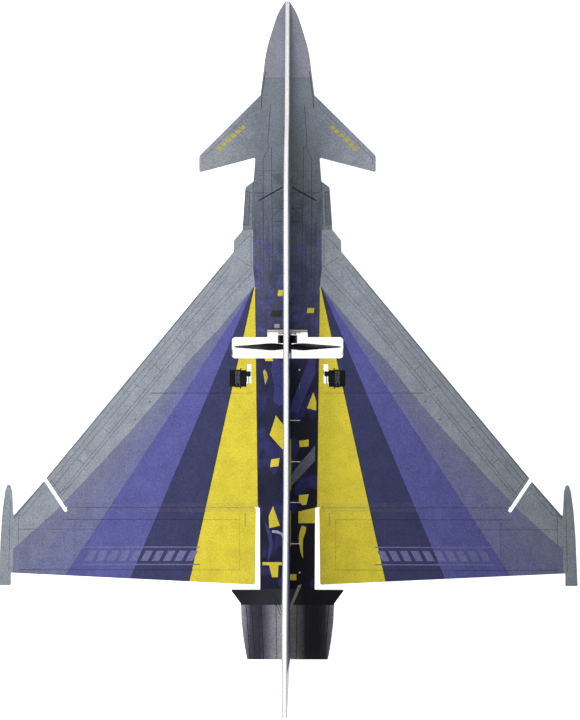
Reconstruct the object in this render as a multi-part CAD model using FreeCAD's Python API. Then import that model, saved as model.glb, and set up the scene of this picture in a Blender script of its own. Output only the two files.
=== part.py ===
import FreeCAD, Part
import math
import os

"""Flat-foam radio-controlled delta jet with canards and a propeller in a slot behind its motor.

Positions are written as stations: s is the distance aft of the nose, y is to port, and z is the
height over the middle of the horizontal foam plate. The row frame has +X forward, +Y to port and
+Z up, with its origin under the middle of the length, on the lower keel's flat edge.
"""

V = FreeCAD.Vector
PORT, STARBOARD = 1, -1

# overall size
LENGTH = 786.0
SPAN = 650.0
FOAM = 6.0                      # thickness of every foam piece
HALF_FOAM = FOAM / 2
KEEL_DEPTH = 76.0               # from the plate's middle to the lower keel's flat edge
FIN_TOP = 151.0
FIN_TIP_LENGTH = 96.0
PLATE_END = 738.4               # station of the nozzle's end
KEEL_END = 736.0

# propeller slot, cut through the plate and both keels
SLOT_FRONT, SLOT_BACK = 376.8, 400.5
SLOT_REACH = 62.5
SLOT_CORNER = 4.0
NOTCH_FRONT = 368.5
NOTCH_REACH = 22.6

# elevons
HINGE = 568.0                   # station of the hinge line, at the plate's top face
HINGE_GAP = 0.4
BEVEL_DEG = 30.0
SLIT_OUTER = (537.5, 272.0)     # (s, y) of the slit's middle line at the leading edge
SLIT_INNER = (571.0, 249.7)
SLIT_WIDTH = 4.2
ELEVON_INNER = 35.7
FUSELAGE_SIDE = 31.1
ELEVON_END = 654.5

# leading edge of the wing
LEADING_EDGE_SLOPE = 0.8286     # growth of y for each millimetre of s
LEADING_EDGE_POINT = (533.4, 269.8)
STRAKE_HALF_WIDTH = 60.4

# carbon strips, let into the foam from below
STRIP_WIDTH, STRIP_HEIGHT = 1.0, 4.5
SPAR_S, SPAR_REACH = 439.5, 153.0
STIFFENER_S, STIFFENER_OUTER = 591.0, 300.0

# hinge tape
TAPE_FRONT, TAPE_BACK, TAPE_THICKNESS = 563.0, 573.0, 0.12
TAPE_INNER, TAPE_OUTER = 37.5, 247.0

# motor mount, motor and propeller, all on the axis y = 0, z = 0
MOUNT_ARM, MOUNT_WIDTH, MOUNT_THICKNESS = 22.5, 12.0, 3.0
MOUNT_BOSS_RADIUS = 12.0
MOUNT_BACK = NOTCH_FRONT + MOUNT_THICKNESS
SCREW_CIRCLE = 8.0
SCREW_RADIUS = 1.0
BASE_THICKNESS = 1.8
BASE_BACK = MOUNT_BACK + BASE_THICKNESS
MOTOR_RADIUS = 11.0
SHAFT_RADIUS = 1.5
BEARING_RADIUS = 3.0
BEARING_BORE = 1.55
BEARING_LENGTH = 2.3
TUBE_RADIUS = 4.0
TUBE_BACK = 381.6
STATOR_FRONT, STATOR_BACK, STATOR_RADIUS = 375.2, 380.2, 9.1
TEETH, TOOTH_WIDTH, TOOTH_ROOT = 9, 1.5, 5.2
BELL_FRONT, BELL_CAP, BELL_BACK = 374.5, 382.2, 383.6
BELL_INNER = 10.2
MAGNETS, MAGNET_INNER = 14, 9.45
ADAPTER_BACK = 384.8
PROP_BACK = 390.4
PROP_MIDDLE = (ADAPTER_BACK + PROP_BACK) / 2
PROP_RADIUS = 60.0
PROP_PITCH = 100.0
HUB_RADIUS = 5.6
THREAD_RADIUS = 2.5
NUT_BACK = 394.8
WASHER_THICKNESS, HEXAGON_THICKNESS, HEXAGON_RADIUS = 0.6, 2.6, 4.6
THREAD_BACK = NUT_BACK - 1.6
SHAFT_BACK = NUT_BACK - 2.4

# servos, which lie on their sides in the plate with their shafts pointing inboard
SERVO_FRONT, SERVO_BACK = 413.9, 432.3
SERVO_INNER, SERVO_OUTER = 46.1, 64.7
SERVO_HALF_THICKNESS = 4.1
COVER_SPLIT, BASE_SPLIT = 51.4, 60.5
EAR_FRONT, EAR_BACK = 411.7, 434.5
EAR_INNER, EAR_OUTER = 51.9, 53.0
ARM_S = 418.0
ARM_SLOT = (407.2, 428.7, 40.5, 45.6)
ARM_INNER, ARM_OUTER = 41.6, 43.0
HUB_OUTER = 45.0
SHAFT_OUTER = 47.5
SERVO_SHAFT_RADIUS = 2.0

# linkage: the servo arm and the horn have the same radius, so the rod stays parallel to itself
LINK_RADIUS = 11.0
HINGE_Z = HALF_FOAM
ROD_RADIUS = 0.6
ROD_Y = 43.9
ROD_LEG_END = 40.5              # how far inboard the rod's Z bend reaches
BARREL_INNER, BARREL_OUTER = 41.9, 46.1
HORN_INNER, HORN_OUTER = 46.5, 47.7
KEEPER_OUTER = 48.7
HORN_TAB = (574.0, 589.0)
PIN_RADIUS, PIN_HOLE = 0.75, 0.8

# electrics under the plate
BATTERY = (250.0, 300.0, 14.0, 12.0)      # front, back, half width, height
PAD_THICKNESS = 1.4
ESC = (336.0, 358.0, -21.0, -8.0, 5.0)    # front, back, starboard side, port side, height
RECEIVER = (338.0, 364.0, 8.0, 24.0, 6.0)
PLUG = (311.0, 325.5, -16.5, -10.5, 5.0)
LEAD_PASS = (325.8, 335.4, 2.0)           # front, back and height of the notch over the lower keel
LEAD_CROSSINGS = (328.0, 331.6)           # stations where the two flat leads cross the keel


def at(s, y, z):
    """The row-frame point at a station, a distance to port and a height over the plate's middle."""
    return V(LENGTH / 2 - s, y, KEEL_DEPTH + z)


def closed_wire(corners):
    """A closed wire through corners (point, radius), with a tangent arc at each rounded corner."""
    cuts = []
    for index, (corner, radius) in enumerate(corners):
        before = (corners[index - 1][0] - corner).normalize()
        after = (corners[(index + 1) % len(corners)][0] - corner).normalize()
        half = before.getAngle(after) / 2
        if radius == 0:
            cuts.append((corner, None, corner))
            continue
        centre = corner + (before + after).normalize() * (radius / math.sin(half))
        reach = radius / math.tan(half)
        middle = centre + (corner - centre).normalize() * radius
        cuts.append((corner + before * reach, middle, corner + after * reach))
    edges = []
    for index, (start, middle, end) in enumerate(cuts):
        if middle is not None:
            edges.append(Part.Arc(start, middle, end).toShape())
        following = cuts[(index + 1) % len(cuts)][0]
        edges.append(Part.LineSegment(end, following).toShape())
    return Part.Wire(edges)


def plan_sheet(corners, low, high):
    """A sheet with a plan outline of (s, y, radius) corners, from height low to height high."""
    wire = closed_wire([(at(s, y, low), radius) for s, y, radius in corners])
    return Part.Face(wire).extrude(V(0, 0, high - low))


def side_sheet(corners, inner, outer):
    """A sheet with a side outline of (s, z, radius) corners, from y = inner to y = outer."""
    wire = closed_wire([(at(s, inner, z), radius) for s, z, radius in corners])
    return Part.Face(wire).extrude(V(0, outer - inner, 0))


def block(front, back, inner, outer, low, high):
    """A square-edged box between two stations, two distances to port and two heights."""
    corner = at(back, min(inner, outer), low)
    return Part.makeBox(back - front, abs(outer - inner), high - low, corner)


def soft_block(front, back, inner, outer, low, high, radius):
    """A box whose edges are all rounded."""
    box = block(front, back, inner, outer, low, high)
    return box.makeFillet(radius, box.Edges)


def disc(front, back, radius, y=0.0, z=0.0):
    """A cylinder along the length of the aircraft."""
    return Part.makeCylinder(radius, back - front, at(front, y, z), V(-1, 0, 0))


def ring(front, back, radius, hole):
    return disc(front, back, radius).cut(disc(front, back, hole))


def cross_pin(s, z, inner, outer, radius):
    """A cylinder along Y."""
    return Part.makeCylinder(radius, outer - inner, at(s, inner, z), V(0, 1, 0))


def mirrored(shape):
    return shape.mirror(V(0, 0, 0), V(0, 1, 0))


def on_side(shape, side):
    """A shape made for the port side, on the side asked for."""
    return shape if side == PORT else mirrored(shape)


def both_sides(corners):
    """A whole plan outline from its port half, which runs from nose to tail."""
    return corners + [(s, -y, radius) for s, y, radius in reversed(corners)]


def turned(shape, count):
    """Copies of a shape spaced evenly about the motor's axis."""
    copies = []
    for index in range(count):
        copy = shape.copy()
        copy.rotate(at(0, 0, 0), V(1, 0, 0), index * 360.0 / count)
        copies.append(copy)
    return copies


def slit_edge(side):
    """(outer end, inner end) of one edge of the slit: side -1 is the wing's, +1 the elevon's."""
    along = V(SLIT_INNER[0] - SLIT_OUTER[0], SLIT_INNER[1] - SLIT_OUTER[1], 0).normalize()
    across = V(-along.y, along.x, 0) * (side * SLIT_WIDTH / 2)
    outer = V(SLIT_OUTER[0], SLIT_OUTER[1], 0) + across
    inner = V(SLIT_INNER[0], SLIT_INNER[1], 0) + across + along * (SLIT_WIDTH / 2)
    return outer, inner


def crossing(edge, station):
    """The y at which the line through a slit edge meets a station."""
    outer, inner = edge
    share = (station - outer.x) / (inner.x - outer.x)
    return outer.y + share * (inner.y - outer.y)


def leading_edge_y(s):
    return LEADING_EDGE_POINT[1] + LEADING_EDGE_SLOPE * (s - LEADING_EDGE_POINT[0])


def slit_meets_leading_edge():
    """Where the wing's edge of the slit runs out through the leading edge."""
    outer, inner = slit_edge(-1)
    slope = (inner.y - outer.y) / (inner.x - outer.x)
    s = outer.x + (leading_edge_y(outer.x) - outer.y) / (slope - LEADING_EDGE_SLOPE)
    return s, leading_edge_y(s)


# ---- foam -------------------------------------------------------------------------------------

def wing_plate():
    """Nose, canards, wings and nozzle: one printed sheet, with openings for what crosses it."""
    strake_end = LEADING_EDGE_POINT[0] - (
        (LEADING_EDGE_POINT[1] - STRAKE_HALF_WIDTH) / LEADING_EDGE_SLOPE
    )
    tip_s, tip_y = slit_meets_leading_edge()
    hinge_edge = HINGE - HINGE_GAP / 2
    nose = [(0.0, 2.3, 2.0), (12.0, 10.6, 60.0), (54.0, 24.0, 150.0)]
    canard = [
        (105.0, 30.2, 2.0), (173.2, 99.2, 6.0), (191.9, 99.2, 2.0), (175.2, 36.1, 1.5),
    ]
    intake = [(202.0, 38.1, 2.0), (208.5, 47.3, 3.0), (256.5, 50.5, 1.5)]
    strake = [(268.5, STRAKE_HALF_WIDTH, 4.0), (strake_end, STRAKE_HALF_WIDTH, 2.0)]
    wing = [
        (tip_s, tip_y, 2.0),
        (hinge_edge, crossing(slit_edge(-1), hinge_edge), 1.0),
        (hinge_edge, FUSELAGE_SIDE, 1.5),
    ]
    nozzle = [
        (660.2, 30.6, 1.0), (660.2, 63.8, 1.0), (675.7, 52.4, 2.0), (695.5, 51.6, 60.0),
        (716.8, 49.2, 60.0), (PLATE_END, 45.4, 1.5),
    ]
    outline = both_sides(nose + canard + intake + strake + wing + nozzle)
    plate = plan_sheet(outline, -HALF_FOAM, HALF_FOAM)
    slot = [
        (NOTCH_FRONT, NOTCH_REACH, 0.0), (SLOT_FRONT, NOTCH_REACH, 1.0),
        (SLOT_FRONT, SLOT_REACH, SLOT_CORNER), (SLOT_BACK, SLOT_REACH, SLOT_CORNER),
    ]
    openings = [plan_sheet(both_sides(slot), -FOAM, FOAM)]
    for side in (PORT, STARBOARD):
        openings.append(on_side(servo_opening(), side))
    openings.append(block(
        SPAR_S - STRIP_WIDTH / 2, SPAR_S + STRIP_WIDTH / 2, -SPAR_REACH, SPAR_REACH,
        -FOAM, STRIP_HEIGHT - HALF_FOAM,
    ))
    return plate.cut(openings)


def servo_opening():
    """The opening that holds the port servo, with the slot that its arm swings in."""
    arm_front, arm_back, arm_inner, arm_outer = ARM_SLOT
    body = block(SERVO_FRONT, SERVO_BACK, arm_outer, SERVO_OUTER, -FOAM, FOAM)
    ears = block(EAR_FRONT, EAR_BACK, EAR_INNER, EAR_OUTER, -FOAM, FOAM)
    arm = block(arm_front, arm_back, arm_inner, arm_outer, -FOAM, FOAM)
    return body.fuse([ears, arm])


def elevon():
    """The port elevon with its wing-tip part, bevelled below its hinge line."""
    front = HINGE + HINGE_GAP / 2
    slit_wing, slit_elevon = slit_edge(-1), slit_edge(1)
    outline = [
        (front, ELEVON_INNER, 1.0),
        (front, crossing(slit_wing, front), 0.5),
        (slit_wing[1].x, slit_wing[1].y, SLIT_WIDTH * 0.45),
        (slit_elevon[1].x, slit_elevon[1].y, SLIT_WIDTH * 0.45),
        (slit_elevon[0].x, slit_elevon[0].y, 1.2),
        (578.0, 308.4, 1.0),
        (550.0, 309.7, 20.0), (537.5, 313.4, 2.2), (550.0, 317.6, 20.0),
        (571.0, 320.4, 80.0), (600.0, 322.6, 100.0), (655.6, SPAN / 2, 1.0),
        (655.6, 311.3, 1.0), (641.5, 311.2, 1.0),
        (ELEVON_END, 36.7, 1.5),
    ]
    sheet = plan_sheet(outline, -HALF_FOAM, HALF_FOAM)
    run = FOAM * math.tan(math.radians(BEVEL_DEG))
    bevel = side_sheet(
        [(front, HALF_FOAM, 0.0), (front, -HALF_FOAM - 1, 0.0),
         (front + run * (FOAM + 1) / FOAM, -HALF_FOAM - 1, 0.0)],
        ELEVON_INNER - 2, crossing(slit_wing, front) + 0.3,
    )
    groove = block(
        STIFFENER_S - STRIP_WIDTH / 2, STIFFENER_S + STRIP_WIDTH / 2,
        ELEVON_INNER - 2, STIFFENER_OUTER, -FOAM, STRIP_HEIGHT - HALF_FOAM,
    )
    horn_slot = block(HORN_TAB[0], HORN_TAB[1], HORN_INNER, HORN_OUTER, -FOAM, FOAM)
    return sheet.cut([bevel, groove, horn_slot])


def keel_slot(direction):
    """The propeller's slot and the motor mount's notch in a keel: direction +1 is up, -1 down."""
    slot = side_sheet(
        [(SLOT_FRONT, 0.0, 0.0), (SLOT_FRONT, direction * SLOT_REACH, SLOT_CORNER),
         (SLOT_BACK, direction * SLOT_REACH, SLOT_CORNER), (SLOT_BACK, 0.0, 0.0)],
        -FOAM, FOAM,
    )
    low, high = sorted((0.0, direction * NOTCH_REACH))
    return slot.fuse(block(NOTCH_FRONT, SLOT_FRONT, -FOAM, FOAM, low, high))


def upper_keel():
    """Forebody, canopy, spine and fin in profile, standing on the plate."""
    outline = [
        (1.0, HALF_FOAM, 0.4), (1.0, 4.6, 0.8), (30.0, 12.0, 60.0), (62.0, 19.5, 120.0),
        (128.0, 30.0, 25.0),
        (168.0, 60.0, 60.0), (205.0, 76.5, 70.0), (250.0, 79.0, 150.0), (330.0, 76.0, 300.0),
        (548.0, 75.5, 60.0), (LENGTH - FIN_TIP_LENGTH, FIN_TOP, 8.0), (LENGTH, FIN_TOP, 2.0),
        (LENGTH, FIN_TOP - 8.0, 12.0), (744.0, 26.0, 12.0), (KEEL_END, HALF_FOAM, 1.0),
    ]
    return side_sheet(outline, -HALF_FOAM, HALF_FOAM).cut(keel_slot(1))


def lower_keel():
    """Belly, intake and ventral edge in profile, hanging under the plate."""
    front, back, _, height = BATTERY
    outline = [
        (14.0, -HALF_FOAM, 0.4), (40.0, -14.0, 60.0), (100.0, -27.0, 200.0),
        (202.0, -35.0, 3.0), (212.0, -60.0, 6.0), (236.0, -KEEL_DEPTH, 12.0),
        (600.0, -KEEL_DEPTH, 60.0), (KEEL_END, -26.0, 8.0), (KEEL_END, -HALF_FOAM, 1.0),
    ]
    bay = block(
        front - 0.5, back + 0.5, -FOAM, FOAM, -HALF_FOAM - PAD_THICKNESS - height - 0.5, 0.0
    )
    lead_pass = block(LEAD_PASS[0], LEAD_PASS[1], -FOAM, FOAM, -HALF_FOAM - LEAD_PASS[2], 0.0)
    return side_sheet(outline, -HALF_FOAM, HALF_FOAM).cut([keel_slot(-1), bay, lead_pass])


def main_spar():
    return block(
        SPAR_S - STRIP_WIDTH / 2, SPAR_S + STRIP_WIDTH / 2, -SPAR_REACH, SPAR_REACH,
        -HALF_FOAM, STRIP_HEIGHT - HALF_FOAM,
    )


def elevon_stiffener():
    return block(
        STIFFENER_S - STRIP_WIDTH / 2, STIFFENER_S + STRIP_WIDTH / 2,
        ELEVON_INNER + 1.5, STIFFENER_OUTER, -HALF_FOAM, STRIP_HEIGHT - HALF_FOAM,
    )


def hinge_tape():
    return block(
        TAPE_FRONT, TAPE_BACK, TAPE_INNER, TAPE_OUTER, HALF_FOAM, HALF_FOAM + TAPE_THICKNESS
    )


# ---- motor and propeller ------------------------------------------------------------------------

def motor_mount_plate():
    """A plywood cross let into the plate and both keels."""
    flat = block(
        NOTCH_FRONT, MOUNT_BACK, -MOUNT_ARM, MOUNT_ARM, -MOUNT_WIDTH / 2, MOUNT_WIDTH / 2
    )
    upright = block(
        NOTCH_FRONT, MOUNT_BACK, -MOUNT_WIDTH / 2, MOUNT_WIDTH / 2, -MOUNT_ARM, MOUNT_ARM
    )
    boss = disc(NOTCH_FRONT, MOUNT_BACK, MOUNT_BOSS_RADIUS)
    holes = turned(disc(NOTCH_FRONT, MOUNT_BACK, SCREW_RADIUS, SCREW_CIRCLE), 4)
    centre = disc(NOTCH_FRONT, MOUNT_BACK, TUBE_RADIUS)
    return flat.fuse([upright, boss]).cut(holes + [centre])


def motor_base():
    """The motor's four-armed foot with the tube that holds the bearings and the stator."""
    arm = block(MOUNT_BACK, BASE_BACK, 0.0, SCREW_CIRCLE, -2.4, 2.4)
    arm = arm.fuse(disc(MOUNT_BACK, BASE_BACK, 2.4, SCREW_CIRCLE))
    foot = disc(MOUNT_BACK, BASE_BACK, 6.0).fuse(turned(arm, 4))
    holes = turned(disc(MOUNT_BACK, BASE_BACK, SCREW_RADIUS, SCREW_CIRCLE), 4)
    bore = disc(MOUNT_BACK, TUBE_BACK, BEARING_RADIUS)
    return foot.fuse(disc(MOUNT_BACK, TUBE_BACK, TUBE_RADIUS)).cut(holes + [bore]).removeSplitter()


def motor_bearings():
    front = ring(MOUNT_BACK, MOUNT_BACK + BEARING_LENGTH, BEARING_RADIUS, BEARING_BORE)
    back = ring(TUBE_BACK - BEARING_LENGTH, TUBE_BACK, BEARING_RADIUS, BEARING_BORE)
    return Part.makeCompound([front, back])


def motor_stator():
    """Laminated core: a hub, nine teeth and the shoe at each tooth's end."""
    core = disc(STATOR_FRONT, STATOR_BACK, TOOTH_ROOT)
    tooth = block(
        STATOR_FRONT, STATOR_BACK, 0.0, STATOR_RADIUS - 0.4, -TOOTH_WIDTH / 2, TOOTH_WIDTH / 2
    )
    rim = ring(STATOR_FRONT, STATOR_BACK, STATOR_RADIUS, STATOR_RADIUS - 0.8)
    opening = block(STATOR_FRONT, STATOR_BACK, TOOTH_ROOT, STATOR_RADIUS + 1, -0.5, 0.5)
    opening.rotate(at(0, 0, 0), V(1, 0, 0), 180.0 / TEETH)
    shoes = rim.cut(turned(opening, TEETH))
    core = core.fuse(turned(tooth, TEETH) + [shoes])
    return core.cut(disc(STATOR_FRONT, STATOR_BACK, TUBE_RADIUS)).removeSplitter()


def motor_windings():
    """One coil of enamelled wire round each tooth."""
    half = TOOTH_WIDTH / 2
    outside = block(
        STATOR_FRONT - 0.7, STATOR_BACK + 0.7, TOOTH_ROOT + 0.1, STATOR_RADIUS - 1.1,
        -half - 0.75, half + 0.75,
    )
    outside = outside.makeFillet(0.5, [e for e in outside.Edges if abs(e.Length - 3.0) < 0.2])
    inside = block(STATOR_FRONT, STATOR_BACK, 0.0, STATOR_RADIUS, -half, half)
    return Part.makeCompound(turned(outside.cut(inside), TEETH))


def motor_screws():
    """Four screws with domed heads, through the motor's foot into the mount."""
    head = disc(BASE_BACK, BASE_BACK + 0.7, 1.8, SCREW_CIRCLE)
    shank = disc(NOTCH_FRONT, BASE_BACK, SCREW_RADIUS, SCREW_CIRCLE)
    cross = block(BASE_BACK + 0.35, BASE_BACK + 1, SCREW_CIRCLE - 1.1, SCREW_CIRCLE + 1.1, -0.2, 0.2)
    screw = head.fuse(shank).cut(cross).removeSplitter()
    return Part.makeCompound(turned(screw, 4))


def motor_bell():
    """The turning can, with a spoked cap at the propeller's end."""
    can = ring(BELL_FRONT, BELL_CAP, MOTOR_RADIUS, BELL_INNER)
    cap = disc(BELL_CAP, BELL_BACK, MOTOR_RADIUS)
    window = ring(BELL_CAP, BELL_BACK, 9.0, 4.6).common(
        block(BELL_CAP, BELL_BACK, 3.0, 9.5, -1.7, 1.7)
    )
    bell = can.fuse(cap).cut(turned(window, 6) + [disc(BELL_CAP, BELL_BACK, SHAFT_RADIUS)])
    bell = bell.removeSplitter()
    rim = [
        edge for edge in bell.Edges
        if isinstance(edge.Curve, Part.Circle) and abs(edge.Curve.Radius - MOTOR_RADIUS) < 0.01
        and abs(edge.CenterOfMass.x - at(BELL_BACK, 0, 0).x) < 0.01
    ]
    return bell.makeFillet(0.6, rim)


def motor_magnets():
    whole = ring(STATOR_FRONT, STATOR_BACK, BELL_INNER, MAGNET_INNER)
    cutter = block(STATOR_FRONT, STATOR_BACK, 5.0, BELL_INNER + 1, -1.9, 1.9)
    return Part.makeCompound([whole.common(piece) for piece in turned(cutter, MAGNETS)])


def motor_shaft():
    return disc(NOTCH_FRONT + 1.2, SHAFT_BACK, SHAFT_RADIUS)


def prop_adapter():
    """A flange against the bell and the threaded barrel that the propeller sits on."""
    flange = disc(BELL_BACK, ADAPTER_BACK, HUB_RADIUS - 1.0)
    barrel = disc(ADAPTER_BACK, THREAD_BACK, THREAD_RADIUS)
    return flange.fuse(barrel).cut(disc(BELL_BACK, SHAFT_BACK, SHAFT_RADIUS)).removeSplitter()


def blade_section(radius, chord, thickness):
    """A blade's section at a radius along +Y: flat below, round above, set at the pitch angle."""
    angle = math.atan2(PROP_PITCH, 2 * math.pi * radius)
    profile = [
        (0.50, 0.0), (0.30, 0.42), (0.05, 0.70), (-0.22, 0.74), (-0.42, 0.42), (-0.50, 0.0),
        (-0.42, -0.18), (-0.10, -0.22), (0.25, -0.16),
    ]
    points = []
    for along, up in profile + profile[:1]:
        a, b = along * chord, up * thickness
        forward = a * math.sin(angle) + b * math.cos(angle)
        height = a * math.cos(angle) - b * math.sin(angle)
        points.append(at(PROP_MIDDLE - forward, radius, height))
    curve = Part.BSplineCurve()
    curve.interpolate(points)
    return Part.Wire([curve.toShape()])


def propeller():
    """Two blades on a round hub."""
    sections = [
        (3.0, 6.0, 3.4), (8.0, 7.5, 3.0), (16.0, 11.5, 2.2), (28.0, 13.6, 1.7),
        (42.0, 12.2, 1.3), (53.0, 9.6, 1.0), (58.4, 6.4, 0.8), (PROP_RADIUS, 3.0, 0.6),
    ]
    blade = Part.makeLoft([blade_section(*section) for section in sections], True, False)
    blade = blade.cut(disc(PROP_MIDDLE - 8, PROP_MIDDLE + 8, HUB_RADIUS - 0.8))
    hub = disc(ADAPTER_BACK, PROP_BACK, HUB_RADIUS)
    hub = hub.makeFillet(0.7, [e for e in hub.Edges if isinstance(e.Curve, Part.Circle)])
    whole = hub.fuse(turned(blade, 2))
    return whole.cut(disc(ADAPTER_BACK - 1, PROP_BACK + 1, THREAD_RADIUS))


def prop_nut():
    """A hexagonal nut with a washer face and a domed end."""
    washer_back = PROP_BACK + WASHER_THICKNESS
    corners = []
    for index in range(6):
        angle = math.radians(60 * index)
        corners.append(at(
            washer_back, HEXAGON_RADIUS * math.cos(angle), HEXAGON_RADIUS * math.sin(angle)
        ))
    face = Part.Face(Part.makePolygon(corners + corners[:1]))
    hexagon = face.extrude(V(-HEXAGON_THICKNESS, 0, 0))
    washer = disc(PROP_BACK, washer_back, HEXAGON_RADIUS - 0.2)
    dome = disc(washer_back + HEXAGON_THICKNESS, NUT_BACK, HEXAGON_RADIUS - 1.0)
    end = [e for e in dome.Edges if abs(e.CenterOfMass.x - at(NUT_BACK, 0, 0).x) < 0.01]
    nut = hexagon.fuse([washer, dome.makeFillet(1.0, end)])
    return nut.cut(disc(PROP_BACK, THREAD_BACK, THREAD_RADIUS)).removeSplitter()


# ---- servos and linkage ---------------------------------------------------------------------------

def servo_case():
    """The middle of the servo's case, with its two fixing ears."""
    middle = block(
        SERVO_FRONT, SERVO_BACK, COVER_SPLIT, BASE_SPLIT,
        -SERVO_HALF_THICKNESS, SERVO_HALF_THICKNESS,
    )
    middle = middle.makeFillet(0.5, [e for e in middle.Edges if abs(e.Length - 9.1) < 0.01])
    ears = block(EAR_FRONT, EAR_BACK, EAR_INNER, EAR_OUTER, -HALF_FOAM, HALF_FOAM)
    holes = [
        cross_pin(s, 0.0, EAR_INNER - 1, EAR_OUTER + 1, 0.5)
        for s in (EAR_FRONT + 1.1, EAR_BACK - 1.1)
    ]
    return middle.fuse(ears).cut(holes).removeSplitter()


def servo_gear_cover():
    """The inboard cover over the gears, with a collar round the output shaft."""
    cover = block(
        SERVO_FRONT, SERVO_BACK, SERVO_INNER, COVER_SPLIT,
        -SERVO_HALF_THICKNESS, SERVO_HALF_THICKNESS,
    )
    cover = cover.makeFillet(0.5, [e for e in cover.Edges if abs(e.Length - 5.3) < 0.01])
    collar = cross_pin(ARM_S, 0.0, HUB_OUTER + 0.3, SERVO_INNER, 3.2)
    gear_bump = cross_pin(ARM_S + 6.4, 0.0, SERVO_INNER - 0.5, SERVO_INNER, 2.8)
    bore = cross_pin(ARM_S, 0.0, HUB_OUTER, SHAFT_OUTER + 0.3, SERVO_SHAFT_RADIUS + 0.06)
    return cover.fuse([collar, gear_bump]).cut(bore).removeSplitter()


def servo_base_cover():
    """The outboard cover, with pockets for its screws' heads."""
    cover = block(
        SERVO_FRONT, SERVO_BACK, BASE_SPLIT, SERVO_OUTER,
        -SERVO_HALF_THICKNESS, SERVO_HALF_THICKNESS,
    )
    return cover.makeFillet(0.5, cover.Edges).cut(case_screws(SERVO_OUTER - 1.0, SERVO_OUTER))


def case_screws(inner, outer):
    """Cylinders at the two places where long screws hold the case's three parts together."""
    low = 1.6 - SERVO_HALF_THICKNESS
    return [
        cross_pin(SERVO_FRONT + 1.6, -low, inner, outer, 0.9),
        cross_pin(SERVO_BACK - 1.6, low, inner, outer, 0.9),
    ]


def servo_screws():
    return Part.makeCompound(case_screws(SERVO_OUTER - 1.0, SERVO_OUTER - 0.3))


def servo_shaft():
    shaft = cross_pin(ARM_S, 0.0, ARM_OUTER, SHAFT_OUTER, SERVO_SHAFT_RADIUS)
    return shaft.cut(cross_pin(ARM_S, 0.0, ARM_OUTER, HUB_OUTER, 0.8))


def servo_arm():
    """One-sided arm with its socket for the shaft and four link holes."""
    reach = LINK_RADIUS + 1.5
    blade = side_sheet(
        [(ARM_S - 2.9, 0.0, 0.0), (ARM_S - 1.6, -reach, 1.5), (ARM_S + 1.6, -reach, 1.5),
         (ARM_S + 2.9, 0.0, 0.0)],
        ARM_INNER, ARM_OUTER,
    )
    hub = cross_pin(ARM_S, 0.0, ARM_INNER, HUB_OUTER, 3.0)
    socket = cross_pin(ARM_S, 0.0, ARM_OUTER, HUB_OUTER, SERVO_SHAFT_RADIUS)
    screw_hole = cross_pin(ARM_S, 0.0, ARM_INNER, HUB_OUTER, 0.8)
    holes = [
        cross_pin(ARM_S, -LINK_RADIUS + 2.0 * step, ARM_INNER - 1, ARM_OUTER + 1, ROD_RADIUS + 0.05)
        for step in range(4)
    ]
    return blade.fuse(hub).cut([socket, screw_hole] + holes).removeSplitter()


def servo_arm_screw():
    head = cross_pin(ARM_S, 0.0, ARM_INNER - 0.7, ARM_INNER, 1.5)
    return head.fuse(cross_pin(ARM_S, 0.0, ARM_INNER, HUB_OUTER, 0.8)).removeSplitter()


def control_horn():
    """A glass-fibre plate let through the elevon, with its hole under the hinge line."""
    hole_z = HINGE_Z - LINK_RADIUS
    front, back = HORN_TAB
    outline = [
        (HINGE - 2.6, hole_z - 2.6, 2.4), (HINGE - 2.8, hole_z + 2.2, 1.8),
        (front, -HALF_FOAM - 0.2, 0.4), (front, HALF_FOAM, 0.0), (back, HALF_FOAM, 0.0),
        (back, -HALF_FOAM - 1.0, 0.8), (HINGE + 3.2, hole_z - 2.6, 3.0),
    ]
    plate = side_sheet(outline, HORN_INNER, HORN_OUTER)
    return plate.cut(cross_pin(HINGE, hole_z, HORN_INNER - 1, HORN_OUTER + 1, PIN_HOLE))


def rod_z(s):
    """Height of the pushrod, which runs parallel to the line from the servo's shaft to the hinge."""
    return -LINK_RADIUS + HINGE_Z * (s - ARM_S) / (HINGE - ARM_S)


def round_lead(points, radius, bend=None):
    """A tube along straight runs joined by tangent arcs; bend fixes the arcs' radius."""
    path, start = [], points[0]
    for before, corner, after in zip(points, points[1:], points[2:]):
        back, forth = before - corner, after - corner
        half = back.getAngle(forth) / 2
        shorter = min(back.Length, forth.Length)
        arc_radius = bend or 0.45 * shorter * math.tan(half)
        reach = arc_radius / math.tan(half)
        back.normalize()
        forth.normalize()
        first, last = corner + back * reach, corner + forth * reach
        centre = corner + (back + forth).normalize() * (arc_radius / math.sin(half))
        middle = centre + (corner - centre).normalize() * arc_radius
        path.append(Part.LineSegment(start, first).toShape())
        path.append(Part.Arc(first, middle, last).toShape())
        start = last
    path.append(Part.LineSegment(start, points[-1]).toShape())
    section = Part.Wire([Part.makeCircle(radius, points[0], points[1] - points[0])])
    return Part.Wire(path).makePipeShell([section], True, False)


def pushrod():
    """Steel rod with a Z bend at the servo arm, straight to the horn's connector and a bit past."""
    points = [
        at(ARM_S - 4.0, ROD_LEG_END, rod_z(ARM_S)), at(ARM_S, ROD_LEG_END, rod_z(ARM_S)),
        at(ARM_S, ROD_Y, rod_z(ARM_S)), at(HINGE + 9.0, ROD_Y, rod_z(HINGE + 9.0)),
    ]
    return round_lead(points, ROD_RADIUS, bend=0.8)


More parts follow.
